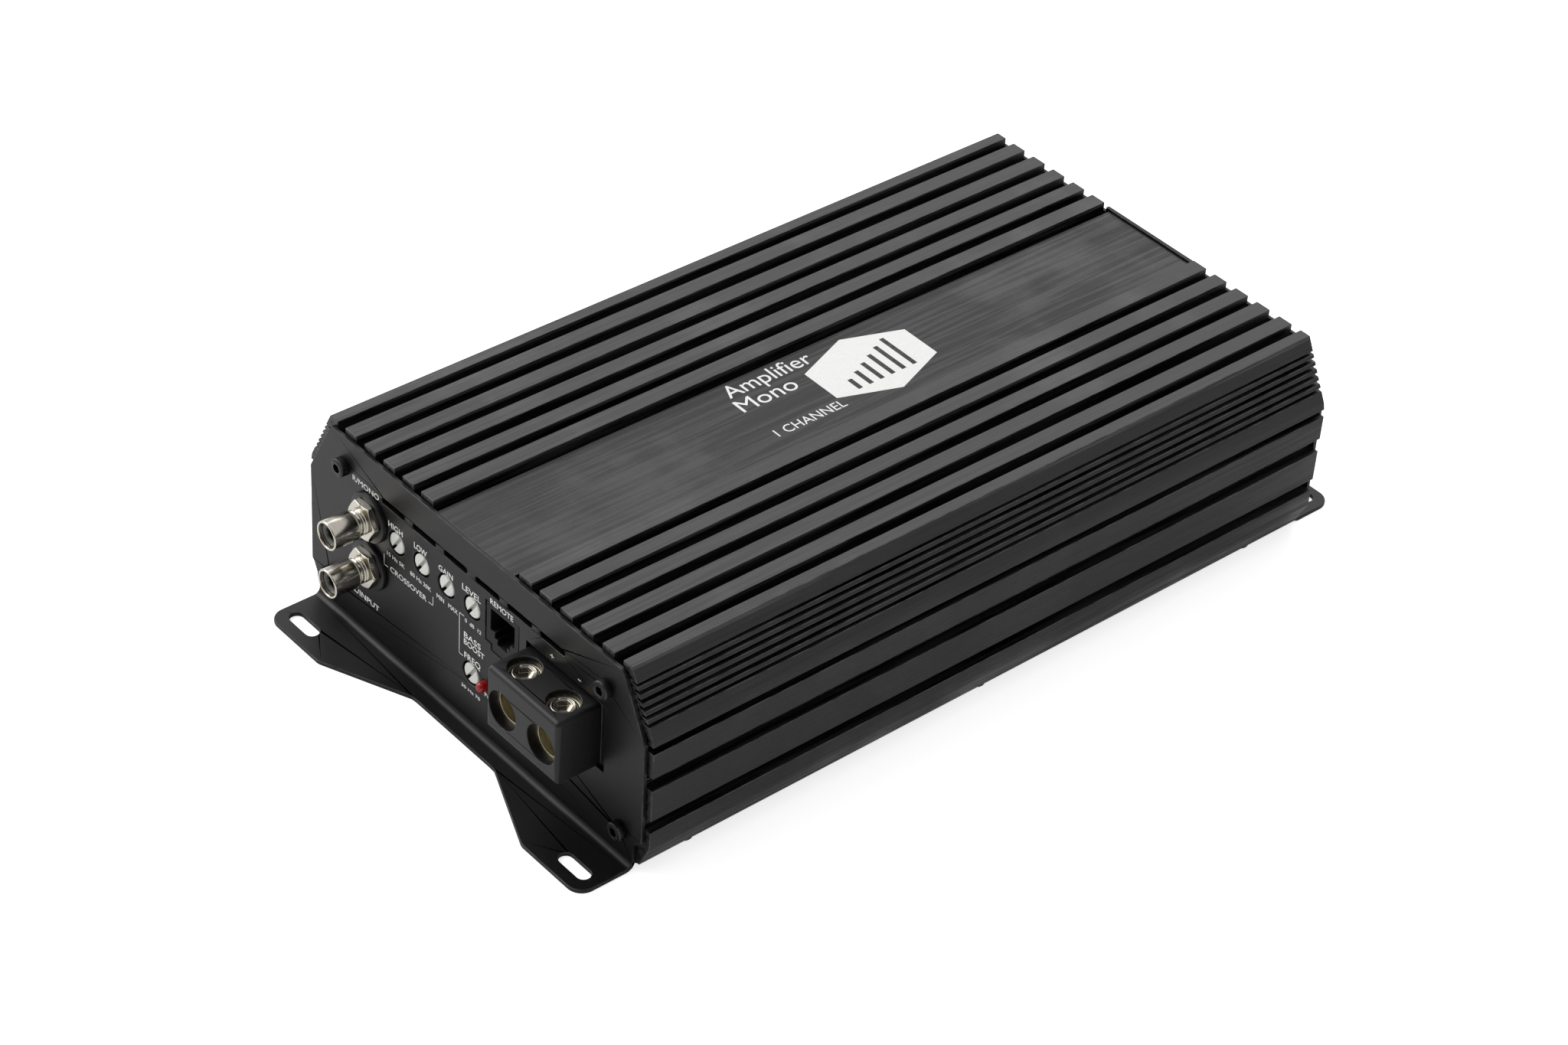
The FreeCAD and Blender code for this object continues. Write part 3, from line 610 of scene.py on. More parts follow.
def draw_tracks(wiring: Wiring, entry: Node) -> Socket:
    """Copper runs under a solder mask."""
    bricks = wiring.add(
        "TexBrick",
        {"Vector": entry.outputs["Vector"], "Scale": entry.outputs["Fineness"], "Mortar Size": 0.08},
        offset=0.37,
        squash=0.6,
    )
    return wiring.math("SUBTRACT", 1.0, bricks.outputs["Fac"])


def draw_height(wiring: Wiring, entry: Node) -> Socket:
    """1 above a height and 0 below it."""
    parts = wiring.add("SeparateXYZ", {0: entry.outputs["Vector"]})
    return wiring.math("GREATER_THAN", parts.outputs["Z"], entry.outputs["Height"])


GRAINS = {
    Grain.LENGTHWISE: Pattern(Grain.LENGTHWISE.value, ("Fineness",), draw_lengthwise),
    Grain.STIPPLE: Pattern(Grain.STIPPLE.value, ("Fineness",), draw_stipple),
    Grain.TURNED: Pattern(Grain.TURNED.value, ("Fineness",), draw_turned),
}
SMUDGES = Pattern("Handling Smudges", (), draw_smudges)
EDGE_RUB_AND_HIGHLIGHT = Pattern("Edge Rub And Painted Highlight", (), draw_edge_rub_and_highlight)
WIRE_TURNS = Pattern("Wire Turns", ("Turns",), draw_turns)
BOARD_TRACKS = Pattern("Board Tracks", ("Fineness",), draw_tracks)
ABOVE_HEIGHT = Pattern("Above Height", ("Height",), draw_height)


@dataclass(frozen=True)
class Finish:
    """A surface finish.

    Attributes:
        slot: The record's material slot that it stands for.
        name: The material's name.
        colour: Base colour.
        roughness: Middle roughness.
        metallic: 0 or 1.
        grain: Which small-scale texture it has.
        fineness: Cells a metre of that texture.
        depth: Height of that texture in millimetres.
        tone: How far the grain lightens the colour, as a share.
        uneven: How far the grain and the smudges move the roughness.
        edge_rub_and_highlight: Colour where edges are rubbed, or None.
        ior: Index of refraction.
        coat: Weight of a clear coat.
    """

    slot: str
    name: str
    colour: Colour
    roughness: float
    metallic: float = 0.0
    grain: Grain = Grain.STIPPLE
    fineness: float = 2500.0
    depth: float = 0.004
    tone: float = 0.15
    uneven: float = 0.08
    # edge_rub_and_highlight: Colour of the broken edges, standing for wear and a painted highlight, or None.
    edge_rub_and_highlight: Colour | None = None
    ior: float = 1.5
    coat: float = 0.0

    def base(self, wiring: Wiring, vector: Socket, grain: Socket) -> Socket:
        """Colour of the surface before wear.

        Args:
            wiring: The material's wiring.
            vector: Object coordinates, not used here.
            grain: The grain's mask.

        Returns:
            The colour's socket.
        """
        dark = tuple(channel * (1 - self.tone) for channel in self.colour)
        light = tuple(min(1.0, channel * (1 + self.tone)) for channel in self.colour)
        return wiring.blend(grain, rgba(dark), rgba(light))

    def relief(self, wiring: Wiring, vector: Socket, grain: Socket) -> Socket:
        """Height of the surface, from 0 to 1 of the depth."""
        return grain

    def special(self, shader: Node) -> None:
        """Set what only this kind of finish has."""

    def material(self) -> bpy.types.Material:
        """Make the material, or find it if it is made already.

        Returns:
            The material.
        """
        made = bpy.data.materials.get(self.name)
        if made:
            return made
        material = bpy.data.materials.new(self.name)
        material.use_nodes = True
        material.diffuse_color = rgba(self.colour)
        wiring = Wiring(material.node_tree)
        shader = material.node_tree.nodes["Principled BSDF"]
        vector = wiring.add("TexCoord").outputs["Object"]
        grain = GRAINS[self.grain].use(wiring, vector, Fineness=self.fineness)
        smudges = SMUDGES.use(wiring, vector)
        colour = self.base(wiring, vector, grain)
        swing = wiring.math("MULTIPLY", wiring.math("SUBTRACT", grain, smudges), self.uneven)
        rough = wiring.math("ADD", swing, self.roughness, clamp=True)
        # Broken edges take this colour, which stands for wear and for a painted highlight along the edges.
        if self.edge_rub_and_highlight is not None:
            edge_rub_and_highlight_mask = EDGE_RUB_AND_HIGHLIGHT.use(wiring, vector)
            colour = wiring.blend(edge_rub_and_highlight_mask, colour, rgba(self.edge_rub_and_highlight))
        bump = wiring.add(
            "Bump",
            {"Height": self.relief(wiring, vector, grain), "Distance": self.depth * MM, "Strength": 1.0},
        )
        links = material.node_tree.links
        links.new(colour, shader.inputs["Base Color"])
        links.new(rough, shader.inputs["Roughness"])
        links.new(bump.outputs["Normal"], shader.inputs["Normal"])
        shader.inputs["Metallic"].default_value = self.metallic
        shader.inputs["IOR"].default_value = self.ior
        shader.inputs["Coat Weight"].default_value = self.coat
        shader.inputs["Coat Roughness"].default_value = 0.12
        self.special(shader)
        return material


@dataclass(frozen=True)
class AnodisingWithPaintedTopHighlight(Finish):
    """Black anodising whose ribs have their top faces painted lighter, a painted highlight for the light they
    catch.

    Attributes:
        painted_highlight_height: Height above which the ribs' top faces get the painted highlight, in
            millimetres.
        painted_highlight_colour: Painted highlight colour of the ribs' top faces.
    """

    painted_highlight_height: float = 61.4
    painted_highlight_colour: Colour = (0.052, 0.052, 0.053)

    def base(self, wiring: Wiring, vector: Socket, grain: Socket) -> Socket:
        """Anodised colour, with a painted highlight on the ribs' top faces.

        Args:
            wiring: The material's wiring.
            vector: Object coordinates.
            grain: The grain's mask.

        Returns:
            The colour's socket.
        """
        flat = super().base(wiring, vector, grain)
        # Painted highlight: faces above this height, the ribs' top faces, are coloured lighter.
        painted_highlight_tops = ABOVE_HEIGHT.use(wiring, vector, Height=self.painted_highlight_height * MM)
        return wiring.blend(painted_highlight_tops, flat, wiring.blend(grain, rgba(self.colour), rgba(self.painted_highlight_colour)))


@dataclass(frozen=True)
class TintedLens(Finish):
    """Clear tinted plastic.

    Attributes:
        clearness: How much light passes through it.
    """

    clearness: float = 0.55

    def special(self, shader: Node) -> None:
        """Let light through."""
        shader.inputs["Transmission Weight"].default_value = self.clearness


@dataclass(frozen=True)
class LaminateBoard(Finish):
    """Solder mask over copper runs.

    Attributes:
        run_colour: Colour of the mask where copper lies under it.
        run_fineness: Copper runs a metre.
    """

    run_colour: Colour = (0.03, 0.17, 0.07)
    run_fineness: float = 110.0

    def base(self, wiring: Wiring, vector: Socket, grain: Socket) -> Socket:
        """Mask colour with the copper runs showing through.

        Args:
            wiring: The material's wiring.
            vector: Object coordinates.
            grain: The grain's mask.

        Returns:
            The colour's socket.
        """
        flat = super().base(wiring, vector, grain)
        tracks = BOARD_TRACKS.use(wiring, vector, Fineness=self.run_fineness)
        return wiring.blend(tracks, rgba(self.run_colour), flat)


@dataclass(frozen=True)
class WoundWire(Finish):
    """Varnished wire wound round a ring.

    Attributes:
        turns: Turns all the way round.
        centre: The ring's centre in millimetres, seen from above.
    """

    turns: float = 90.0
    centre: tuple[float, float] = (0.0, 0.0)

    def strands(self, wiring: Wiring, vector: Socket) -> Socket:
        """Mask of the turns, measured round the ring's own centre."""
        shift = (-self.centre[0] * MM, -self.centre[1] * MM, 0.0)
        centred = wiring.add("Mapping", {"Vector": vector, "Location": shift})
        return WIRE_TURNS.use(wiring, centred.outputs["Vector"], Turns=self.turns)

    def base(self, wiring: Wiring, vector: Socket, grain: Socket) -> Socket:
        """Copper, with painted shade between the turns."""
        # Painted shade: the copper is darkened in the valleys between the turns.
        dark = rgba(tuple(channel * 0.35 for channel in self.colour))
        return wiring.blend(self.strands(wiring, vector), dark, super().base(wiring, vector, grain))

    def relief(self, wiring: Wiring, vector: Socket, grain: Socket) -> Socket:
        """Rounded turns."""
        return self.strands(wiring, vector)


def black_moulding(slot: str, name: str, colour: Colour, roughness: float) -> Finish:
    """Textured black moulding of the given colour and roughness."""
    return Finish(
        slot, name, colour, roughness, fineness=3200.0, depth=0.006, edge_rub_and_highlight=(0.035, 0.035, 0.036), ior=1.42
    )


ANODISED = AnodisingWithPaintedTopHighlight(
    "black_anodised_extrusion", "Black anodised aluminium", (0.006, 0.006, 0.0066), 0.35,
    grain=Grain.LENGTHWISE, fineness=900.0, depth=0.022, tone=0.95, uneven=0.24,
    edge_rub_and_highlight=(0.075, 0.075, 0.077), ior=1.44,
)
POWDER_COAT = Finish(
    "black_powder_coat", "Satin black powder coat", (0.0025, 0.0025, 0.0028), 0.4,
    fineness=1500.0, depth=0.003, tone=0.25, uneven=0.04, edge_rub_and_highlight=(0.04, 0.04, 0.042), ior=1.36,
)
BLACK_OXIDE = Finish(
    "black_oxide_steel", "Black oxide steel", (0.035, 0.035, 0.037), 0.34,
    metallic=1.0, grain=Grain.TURNED, fineness=4200.0, depth=0.003, edge_rub_and_highlight=(0.20, 0.20, 0.20),
)
POT_CASE = black_moulding("blue_black_pot_case", "Trimmer case moulding", (0.02, 0.03, 0.06), 0.45)
ROTOR = Finish(
    "white_rotor_plastic", "White rotor nylon", (0.66, 0.66, 0.62), 0.42, depth=0.003, tone=0.05,
    edge_rub_and_highlight=(0.55, 0.55, 0.51),
)
NICKEL = Finish(
    "bright_nickel", "Bright nickel plate", (0.56, 0.53, 0.465), 0.15,
    metallic=1.0, grain=Grain.TURNED, fineness=3600.0, depth=0.002, tone=0.07, edge_rub_and_highlight=(0.66, 0.63, 0.56),
)
INSULATOR = Finish("grey_insulator", "Dark grey insulator", (0.075, 0.077, 0.08), 0.4, tone=0.1)
GOLD = Finish(
    "gold_brass", "Gold flash on brass", (0.80, 0.56, 0.22), 0.24,
    metallic=1.0, grain=Grain.TURNED, fineness=3000.0, depth=0.002, tone=0.08,
)
# Phono contacts are painted near black, a painted shade for the shaded inside of the jack mouth.
SHADE_DARKENED_CONTACT = Finish("gold_brass", "Contact brass darkened as painted shade", (0.10, 0.085, 0.06), 0.4, metallic=1.0, tone=0.2)
BLACK_PLASTIC = black_moulding("black_plastic", "Black moulded nylon", (0.004, 0.004, 0.0044), 0.42)
JACK_PLASTIC = black_moulding("black_plastic", "Jack moulding", (0.002, 0.002, 0.0022), 0.62)
LENS = TintedLens("red_lens", "Red tinted lens", (0.62, 0.02, 0.015), 0.12, depth=0.001, tone=0.05, uneven=0.03)
SATIN_NICKEL = Finish(
    "satin_nickel_brass", "Satin nickel on brass", (0.72, 0.67, 0.50), 0.36,
    metallic=1.0, grain=Grain.TURNED, fineness=2600.0, depth=0.004, tone=0.12,
)
LAMINATE = LaminateBoard("circuit_board", "Green solder mask", (0.012, 0.085, 0.035), 0.3, tone=0.1, coat=0.4)
ZINC = Finish(
    "zinc_steel", "Zinc plated steel", (0.52, 0.53, 0.53), 0.36,
    metallic=1.0, grain=Grain.LENGTHWISE, fineness=900.0, depth=0.003,
)
TRANSFORMER_WIRE = WoundWire(
    "varnished_copper", "Varnished transformer wire", (0.55, 0.22, 0.08), 0.3, metallic=1.0, depth=0.3,
    turns=96.0, centre=(0.0, 40.0), coat=0.5,
)
INDUCTOR_WIRE = WoundWire(
    "varnished_copper", "Varnished inductor wire", (0.60, 0.26, 0.10), 0.3, metallic=1.0, depth=0.4,
    turns=52.0, centre=(0.0, -50.0), coat=0.5,
)
SLEEVE = Finish(
    "black_can_sleeve", "Shrunk can sleeve", (0.018, 0.018, 0.024), 0.24, fineness=900.0, depth=0.01
)
FILM = Finish(
    "red_film_case", "Dipped film case", (0.30, 0.03, 0.02), 0.22, fineness=300.0, depth=0.05, coat=0.3
)
EPOXY = Finish("black_epoxy", "Moulded epoxy", (0.03, 0.03, 0.03), 0.5, fineness=4000.0)
SILICONE = Finish("grey_silicone", "Grey silicone pad", (0.30, 0.31, 0.32), 0.6, fineness=1800.0)
INK = Finish("white_rotor_plastic", "White printed ink", (0.74, 0.74, 0.73), 0.5, depth=0.002, tone=0.06)
FINISHES = (
    ANODISED, POWDER_COAT, BLACK_OXIDE, POT_CASE, ROTOR, NICKEL, INSULATOR, GOLD, BLACK_PLASTIC, LENS,
    SATIN_NICKEL, LAMINATE, ZINC, TRANSFORMER_WIRE, SLEEVE, FILM, EPOXY, SILICONE,
)


def deliver(
    piece: Piece, name: str, finish: Finish, body: str = CASE, stands_for: Sequence[str] = ()
) -> None:
    """Name a finished piece, dress it and let it ride on its body.

    Args:
        piece: The mesh object, with its place in its mesh.
        name: Its name.
        finish: What it is dressed in.
        body: The CAD body that carries it.
        stands_for: CAD nodes that it replaces.
    """
    piece.name = name
    piece.data.name = name
    piece.data.materials.clear()
    piece.data.materials.append(finish.material())
    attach(piece, body)
    if stands_for:
        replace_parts(piece, *stands_for)
    log.info("%s: %s on %s, %d faces", name, finish.name, body, len(piece.data.polygons))


def dress_node(node: str, finish: Finish) -> None:
    """Give a CAD node that stays in sight a finish of its own.

    Args:
        node: Name of the CAD node.
        finish: What it is dressed in.
    """
    shape = frame["nodes"][node]
    material = finish.material()
    if not shape.material_slots:
        shape.data.materials.append(material)
    for place in shape.material_slots:
        place.link = "OBJECT"
        place.material = material
    log.info("%s: %s on the CAD shape", node, finish.name)


# Sub-assemblies


@dataclass
class CaseShell:
    """Extrusion, end plates and bottom cover.

    Attributes:
        edge: Width of the broken edges of the extrusion.
        sheet_edge: Width of the rounded edges of the folded plates.
    """

    edge: float = 0.16
    sheet_edge: float = 0.24

    def build(self) -> None:
        """Make the four shells with softened edges."""
        for node, width, finish in (
            ("heatsink_body", self.edge, ANODISED),
            ("front_end_plate", self.sheet_edge, POWDER_COAT),
            ("rear_end_plate", self.sheet_edge, POWDER_COAT),
            ("bottom_cover", self.sheet_edge, POWDER_COAT),
        ):
            deliver(softened(node, width), node + "_shell", finish, stands_for=[node])


@dataclass
class CapScrews:
    """Socket cap screws that hold the end plates.

    Attributes:
        places: Right of the middle and above the mounting surface, for each screw of one plate.
        head_radius: Radius over the knurl.
        head_height: Height of the head.
        knurls: Ridges round the head.
        key: Across flats of the socket.
        socket_depth: Depth of the socket.
        shank_radius: Radius of the shank.
        shank_length: Length of the shank.
        valley: Radius between the knurls, as a share of the radius over them.
        rim_inset: How far the chamfer round the head's top reaches in.
        rim_drop: Height of that chamfer.
    """

    places: tuple[tuple[float, float], ...] = ((-54.9, 51.4), (54.9, 51.4), (-62.2, 10.5), (62.2, 10.5))
    head_radius: float = 2.65
    head_height: float = 2.5
    knurls: int = 36
    key: float = 2.5
    socket_depth: float = 1.5
    shank_radius: float = 1.45
    shank_length: float = 9.0
    valley: float = 0.955
    rim_inset: float = 0.42
    rim_drop: float = 0.36

    def master(self) -> Piece:
        """Model one screw with its head on z = 0, looking up.

        Returns:
            The screw.
        """
        top = self.head_height
        screw = bar(self.knurls * 2, self.head_radius * 2, 0.0, top)
        with edit_mode(screw):
            column = tau / (self.knurls * 2)
            select_points(screw, lambda p: round(atan2(p.y, p.x) / column) % 2 == 0)
            bpy.ops.transform.resize(value=(self.valley, self.valley, 1), center_override=(0, 0, 0))
            select_faces(screw, lambda c, n: n.z > 0.9)
            bpy.ops.mesh.inset(thickness=self.rim_inset * MM)
            select_points(screw, lambda p: p.z > top - 0.01 and hypot(p.x, p.y) > self.head_radius - 0.2)
            bpy.ops.transform.translate(value=(0, 0, -self.rim_drop * MM))
            select_faces(screw, lambda c, n: n.z < -0.9)
            bpy.ops.mesh.inset(thickness=(self.head_radius - self.shank_radius - 0.06) * MM)
            bpy.ops.mesh.extrude_region_move(
                TRANSFORM_OT_translate={"value": (0, 0, -self.shank_length * MM)}
            )
        combine(screw, socket_tool(self.key, top - self.socket_depth, top + 1.0), "DIFFERENCE")
        soften_edges(screw, 0.05, degrees=48.0)
        return screw

    def build(self) -> None:
        """Copy the screw to both plates."""
        screw = self.master()
        for end, facing in (("front", Facing.FRONT), ("rear", Facing.REAR)):
            node = end + "_plate_screws"
            low, high = span(node)
            seat = low.y + self.head_height if facing is Facing.FRONT else high.y - self.head_height
            for number, (x, z) in enumerate(self.places, 1):
                copy = twin(screw, at(x, seat, z, facing))
                deliver(copy, f"{end}_cap_screw_{number}", BLACK_OXIDE, stands_for=[node])
        discard(screw)


@dataclass
class PhonoJacks:
    """Two phono jacks with their nuts and flange washers.

    Attributes:
        barrel: Outer radius of the barrel.
        mouth: Inner radius at the mouth.
        thread_radius: Outer radius of the thread.
        throat: Inner radius behind the insulator.
        nut_flats: Across flats of the nuts.
        nut_height: Height of the front nut.
        back_nut_height: Height of the nut behind the plate.
        washer: Radius of the flange washer.
        washer_height: Height of the washer's flange.
        sheet: Thickness of the plate.
    """

    barrel: float = 4.15
    mouth: float = 3.5
    thread_radius: float = 3.7
    throat: float = 2.3
    nut_flats: float = 10.4
    nut_height: float = 2.1
    back_nut_height: float = 2.0
    washer: float = 7.2
    washer_height: float = 1.2
    sheet: float = 1.2

    def shell(self, tip: float, tail: float) -> Piece:
        """Plated barrel with a rolled mouth, a taper, and a thread.

        Args:
            tip: Height of the mouth above the plate.
            tail: Depth of the thread's end behind the plate, as a negative height.

        Returns:
            The shell round the origin.
        """
        lip = (self.barrel - self.mouth) / 2
        middle = (self.barrel + self.mouth) / 2
        outline: Outline = [(self.throat, tail), (self.thread_radius - 0.3, tail)]
        outline += thread(self.thread_radius, tail + 0.2, tip - 8.7, 0.75)
        outline += [
            (self.thread_radius - 0.2, tip - 8.6), (self.barrel - 0.05, tip - 7.75), (self.barrel, tip - 7.5),
        ]
        outline += [(middle + lip * cos(pi * k / 8), tip - lip + lip * sin(pi * k / 8)) for k in range(9)]
        outline += [(self.mouth, tip - 9.4), (self.throat, tip - 9.4), (self.throat, tail)]
        return lathe(outline, 96)

    def insulator(self, tip: float, tail: float) -> Piece:
        """Ring that holds the centre contact, with a shallow dish on its face.

        Args:
            tip: Height of its face above the plate.
            tail: Height of its far end.

        Returns:
            The insulator round the origin.
        """
        shoulder = tip - 8.2
        outline = [
            (1.95, tip - 0.45), (2.1, tip - 0.15), (2.3, tip), (3.1, tip), (3.3, tip - 0.1), (3.45, tip - 0.35),
            (3.45, shoulder), (2.25, shoulder), (2.25, tail), (1.05, tail), (1.05, shoulder + 0.3),
            (1.95, shoulder + 0.3), (1.95, tip - 0.45),
        ]
        return lathe(outline, 72)

    def contact(self, tip: float, tail: float) -> Piece:
        """Spring sleeve with a flared mouth and a solder tail.

        Args:
            tip: Height of its mouth above the plate.
            tail: Height of the tail's end.

        Returns:
            The contact round the origin.
        """
        outline = [
            (0.0, tail), (0.85, tail), (1.0, tail + 0.2), (1.0, tip - 8.2), (1.9, tip - 8.15), (1.9, tip - 0.2),
            (1.82, tip - 0.03), (1.74, tip), (1.66, tip - 0.08), (1.6, tip - 0.4), (1.6, tip - 7.3),
            (0.0, tip - 7.3),
        ]
        sleeve = lathe(outline, 48)
        for turn in (0, 1):
            slit = bar(4, 1.0, tip - 5.0, tip + 1.0)
            settle(slit, Matrix.Rotation(turn * pi / 2, 4, "Z") @ Matrix.Diagonal((6.0, 0.35, 1.0, 1.0)))
            combine(sleeve, slit, "DIFFERENCE")
        return sleeve

    def nut(self, height: float) -> Piece:
        """Hexagon nut with both faces chamfered.

        Args:
            height: Its height, standing on z = 0.

        Returns:
            The nut.
        """
        corner = self.nut_flats / sqrt(3)
        flat = self.nut_flats / 2
        nut = bar(6, corner * 2, 0.0, height)
        drop = (corner + 0.2 - flat) * 0.55
        blank = [
            (0.0, 0.0), (flat, 0.0), (corner + 0.2, drop), (corner + 0.2, height - drop), (flat, height),
            (0.0, height),
        ]
        combine(nut, lathe(blank, 96), "INTERSECT")
        combine(nut, bar(64, (self.thread_radius + 0.02) * 2, -1.0, height + 1.0), "DIFFERENCE")
        soften_edges(nut, 0.07, degrees=32.0)
        return nut

    def flange_washer(self) -> Piece:
        """Insulating washer with a collar that fills the plate's hole."""
        top, rim, bore = self.washer_height, self.washer, self.thread_radius + 0.05
        outline = [
            (bore, -self.sheet), (4.25, -self.sheet), (4.25, 0.0), (rim - 0.15, 0.0), (rim, 0.15),
            (rim, top - 0.3),
            (rim - 0.1, top - 0.08), (rim - 0.3, top), (bore, top), (bore, -self.sheet),
        ]
        return lathe(outline, 96)

    def build(self) -> None:
        """Make both jacks."""
        plate = span("rca_flange_washers")[0].y + self.washer_height
        front_nut = self.nut(self.nut_height)
        back_nut = self.nut(self.back_nut_height)
        washer = self.flange_washer()
        smooth(washer)
        for level in ("upper", "lower"):
            low, high = span(f"rca_{level}_shell")
            x, z = (low.x + high.x) / 2, (low.z + high.z) / 2
            here = at(x, plate, z, Facing.FRONT)
            shell = self.shell(plate - low.y, plate - high.y)
            smooth(shell, 40.0)
            deliver(settle(shell, here), f"phono_{level}_barrel", NICKEL, stands_for=[f"rca_{level}_shell"])
            for part, make, finish in (
                ("insulator", self.insulator, INSULATOR), ("contact", self.contact, SHADE_DARKENED_CONTACT)
            ):
                low, high = span(f"rca_{level}_{part}")
                piece = make(plate - low.y, plate - high.y)
                smooth(piece, 40.0)
                settle(piece, here)
                deliver(piece, f"phono_{level}_{part}", finish, stands_for=[f"rca_{level}_{part}"])
            front = twin(front_nut, at(x, plate - self.washer_height, z, Facing.FRONT))
            deliver(front, f"phono_{level}_nut", NICKEL, stands_for=["rca_nuts"])
            back = twin(back_nut, at(x, plate + self.sheet, z, Facing.REAR))
            deliver(back, f"phono_{level}_back_nut", NICKEL, stands_for=["rca_nuts"])
            ring = twin(washer, here)
            deliver(ring, f"phono_{level}_washer", BLACK_PLASTIC, stands_for=["rca_flange_washers"])
        for master in (front_nut, back_nut, washer):
            discard(master)


@dataclass
class Controls:
    """Slotted trimmers, the remote jack and the indicator.

    Attributes:
        trimmers: Names of the trimmers.
        rotor_edge: Rounding of a rotor's edges.
        jack_edge: Rounding of the jack's edges.
        lens_radius: Radius of the indicator's lens.
        flange_radius: Radius of the flange at its base.
    """

    trimmers: tuple[str, ...] = ("high_pass", "low_pass", "gain", "bass_level", "bass_frequency")
    rotor_edge: float = 0.1
    jack_edge: float = 0.14
    lens_radius: float = 1.5
    flange_radius: float = 1.9

    def build_trimmers(self) -> None:
        """Round the rotors' edges and dress the cases."""
        for name in self.trimmers:
            rotor = softened(name + "_pot_shaft", self.rotor_edge)
            deliver(rotor, name + "_rotor_face", ROTOR, name + "_rotor", [name + "_pot_shaft"])
            dress_node(name + "_pot_body", POT_CASE)

    def build_jack(self) -> None:
        """Round the jack's edges and dress its contacts."""
        deliver(
            softened("remote_jack_housing", self.jack_edge), "remote_jack_shell", JACK_PLASTIC,
            stands_for=["remote_jack_housing"],
        )
        dress_node("remote_jack_contacts", GOLD)

    def build_indicator(self) -> None:
        """Turn the domed lens and the lead frame's cup inside it."""
        low, high = span("power_led")
        x, z = (low.x + high.x) / 2, (low.z + high.z) / 2
        length = high.y - low.y
        shoulder = length - self.lens_radius
        flange, body = self.flange_radius, self.lens_radius
        outline = [
            (0.0, 0.0), (flange - 0.1, 0.0), (flange, 0.1), (flange, 1.1), (flange - 0.1, 1.2), (body, 1.2),
        ]
        outline += [
            (body * cos(pi / 2 * k / 10), shoulder + body * sin(pi / 2 * k / 10)) for k in range(11)
        ]
        lens = lathe(outline, 64)
        smooth(lens, 50.0)
        deliver(settle(lens, at(x, high.y, z, Facing.FRONT)), "indicator_lens", LENS, stands_for=["power_led"])
        cup = lathe([(0.0, 1.6), (0.45, 1.6), (0.85, 3.6), (0.75, 3.6), (0.4, 2.7), (0.0, 2.7)], 32)
        smooth(cup)
        deliver(settle(cup, at(x, high.y, z, Facing.FRONT)), "indicator_cup", ZINC)
        dress_node("led_holder", BLACK_PLASTIC)

    def build(self) -> None:
        """Make every control."""
        self.build_trimmers()
        self.build_jack()
        self.build_indicator()


@dataclass
class CableBlock:
    """Screw-clamp cable block.

    Attributes:
        name: Start of its CAD nodes' names.
        clamps: Names of its clamps.
        edge: Rounding of the moulding's sharp edges.
        insert_edge: Rounding of the brass inserts' edges.
        pitch: Pitch of the grub screws' thread.
    """

    name: str
    clamps: tuple[str, ...]
    edge: float = 0.22
    insert_edge: float = 0.12
    pitch: float = 0.8

    def grub_screw(self, radius: float, height: float) -> Piece:
        """Threaded grub screw with a stepped top and a key socket.

        Args:
            radius: Crest radius of the thread.
            height: Its height, standing on z = 0.

        Returns:
            The screw.
        """
        step = radius * 0.08
        outline: Outline = [(0.0, 0.0), (radius * 0.8, 0.0)]
        outline += thread(radius, 0.25, height - radius * 0.16, self.pitch)
        outline += [(radius * 0.86, height), (radius * 0.74, height)]
        outline += [(radius * 0.7, height - step), (0.0, height - step)]
        screw = lathe(outline, 64)
        combine(screw, socket_tool(radius * 1.1, height * 0.42, height + 1.0), "DIFFERENCE")
        soften_edges(screw, radius * 0.015, degrees=34.0)
        return screw

    def build(self) -> None:
        """Make the moulding, the inserts, and each clamp's pad and screw."""
        housing = self.name + "_terminal_housing"
        moulding = softened(housing, self.edge)
        deliver(moulding, self.name + "_block_moulding", BLACK_PLASTIC, stands_for=[housing])
        inserts = self.name + "_terminal_inserts"
        brass = softened(inserts, self.insert_edge)
        deliver(brass, self.name + "_block_inserts", SATIN_NICKEL, stands_for=[inserts])
        for clamp in self.clamps:
            dress_node(clamp + "_pad", SATIN_NICKEL)
            low, high = span(clamp + "_screw")
            screw = self.grub_screw((high.x - low.x) / 2, high.z - low.z)
            settle(screw, at((low.x + high.x) / 2, (low.y + high.y) / 2, low.z))
            deliver(screw, clamp + "_grub_screw", NICKEL, clamp + "_grub", [clamp + "_screw"])


@dataclass
class PrintedText:
    """One printed word or row of marks.

    Attributes:
        words: What it says.
        start: Where it starts along its line, in millimetres.
        end: Where it ends.
        base: Where its letters stand.
        height: Height of its capitals.
    """

    words: str
    start: float
    end: float
    base: float
    height: float


def letters(text: PrintedText, film: float, weight: float = 0.0) -> Piece:
    """Thin solid letters in the XY plane, at their printed size.

    Args:
        text: What to print and how large.
        film: Thickness of the ink in millimetres.
        weight: How far the strokes are widened, as a share of the letters' size.

    Returns:
        The mesh object, starting at the origin and standing on the X axis.
    """
    sizes = []
    for words in ("H", text.words):
        clear_selection()
        bpy.ops.object.text_add()
        piece = bpy.context.object
        piece.data.body = words
        piece.data.offset = weight
        piece.data.resolution_u = 4
        piece.data.extrude = 0.5
        bpy.ops.object.convert(target="MESH")
        xs = [v.co.x for v in piece.data.vertices]
        ys = [v.co.y for v in piece.data.vertices]
        sizes.append((min(xs), max(xs), max(ys)))
        if words == "H" and text.words != "H":
            discard(piece)
    left, right, _ = sizes[-1]
    scale = Matrix.Diagonal((
        (text.end - text.start) / (right - left) * MM, text.height / sizes[0][2] * MM, film * MM, 1.0
    ))
    return settle(piece, scale @ Matrix.Translation((-left, 0, 0)))


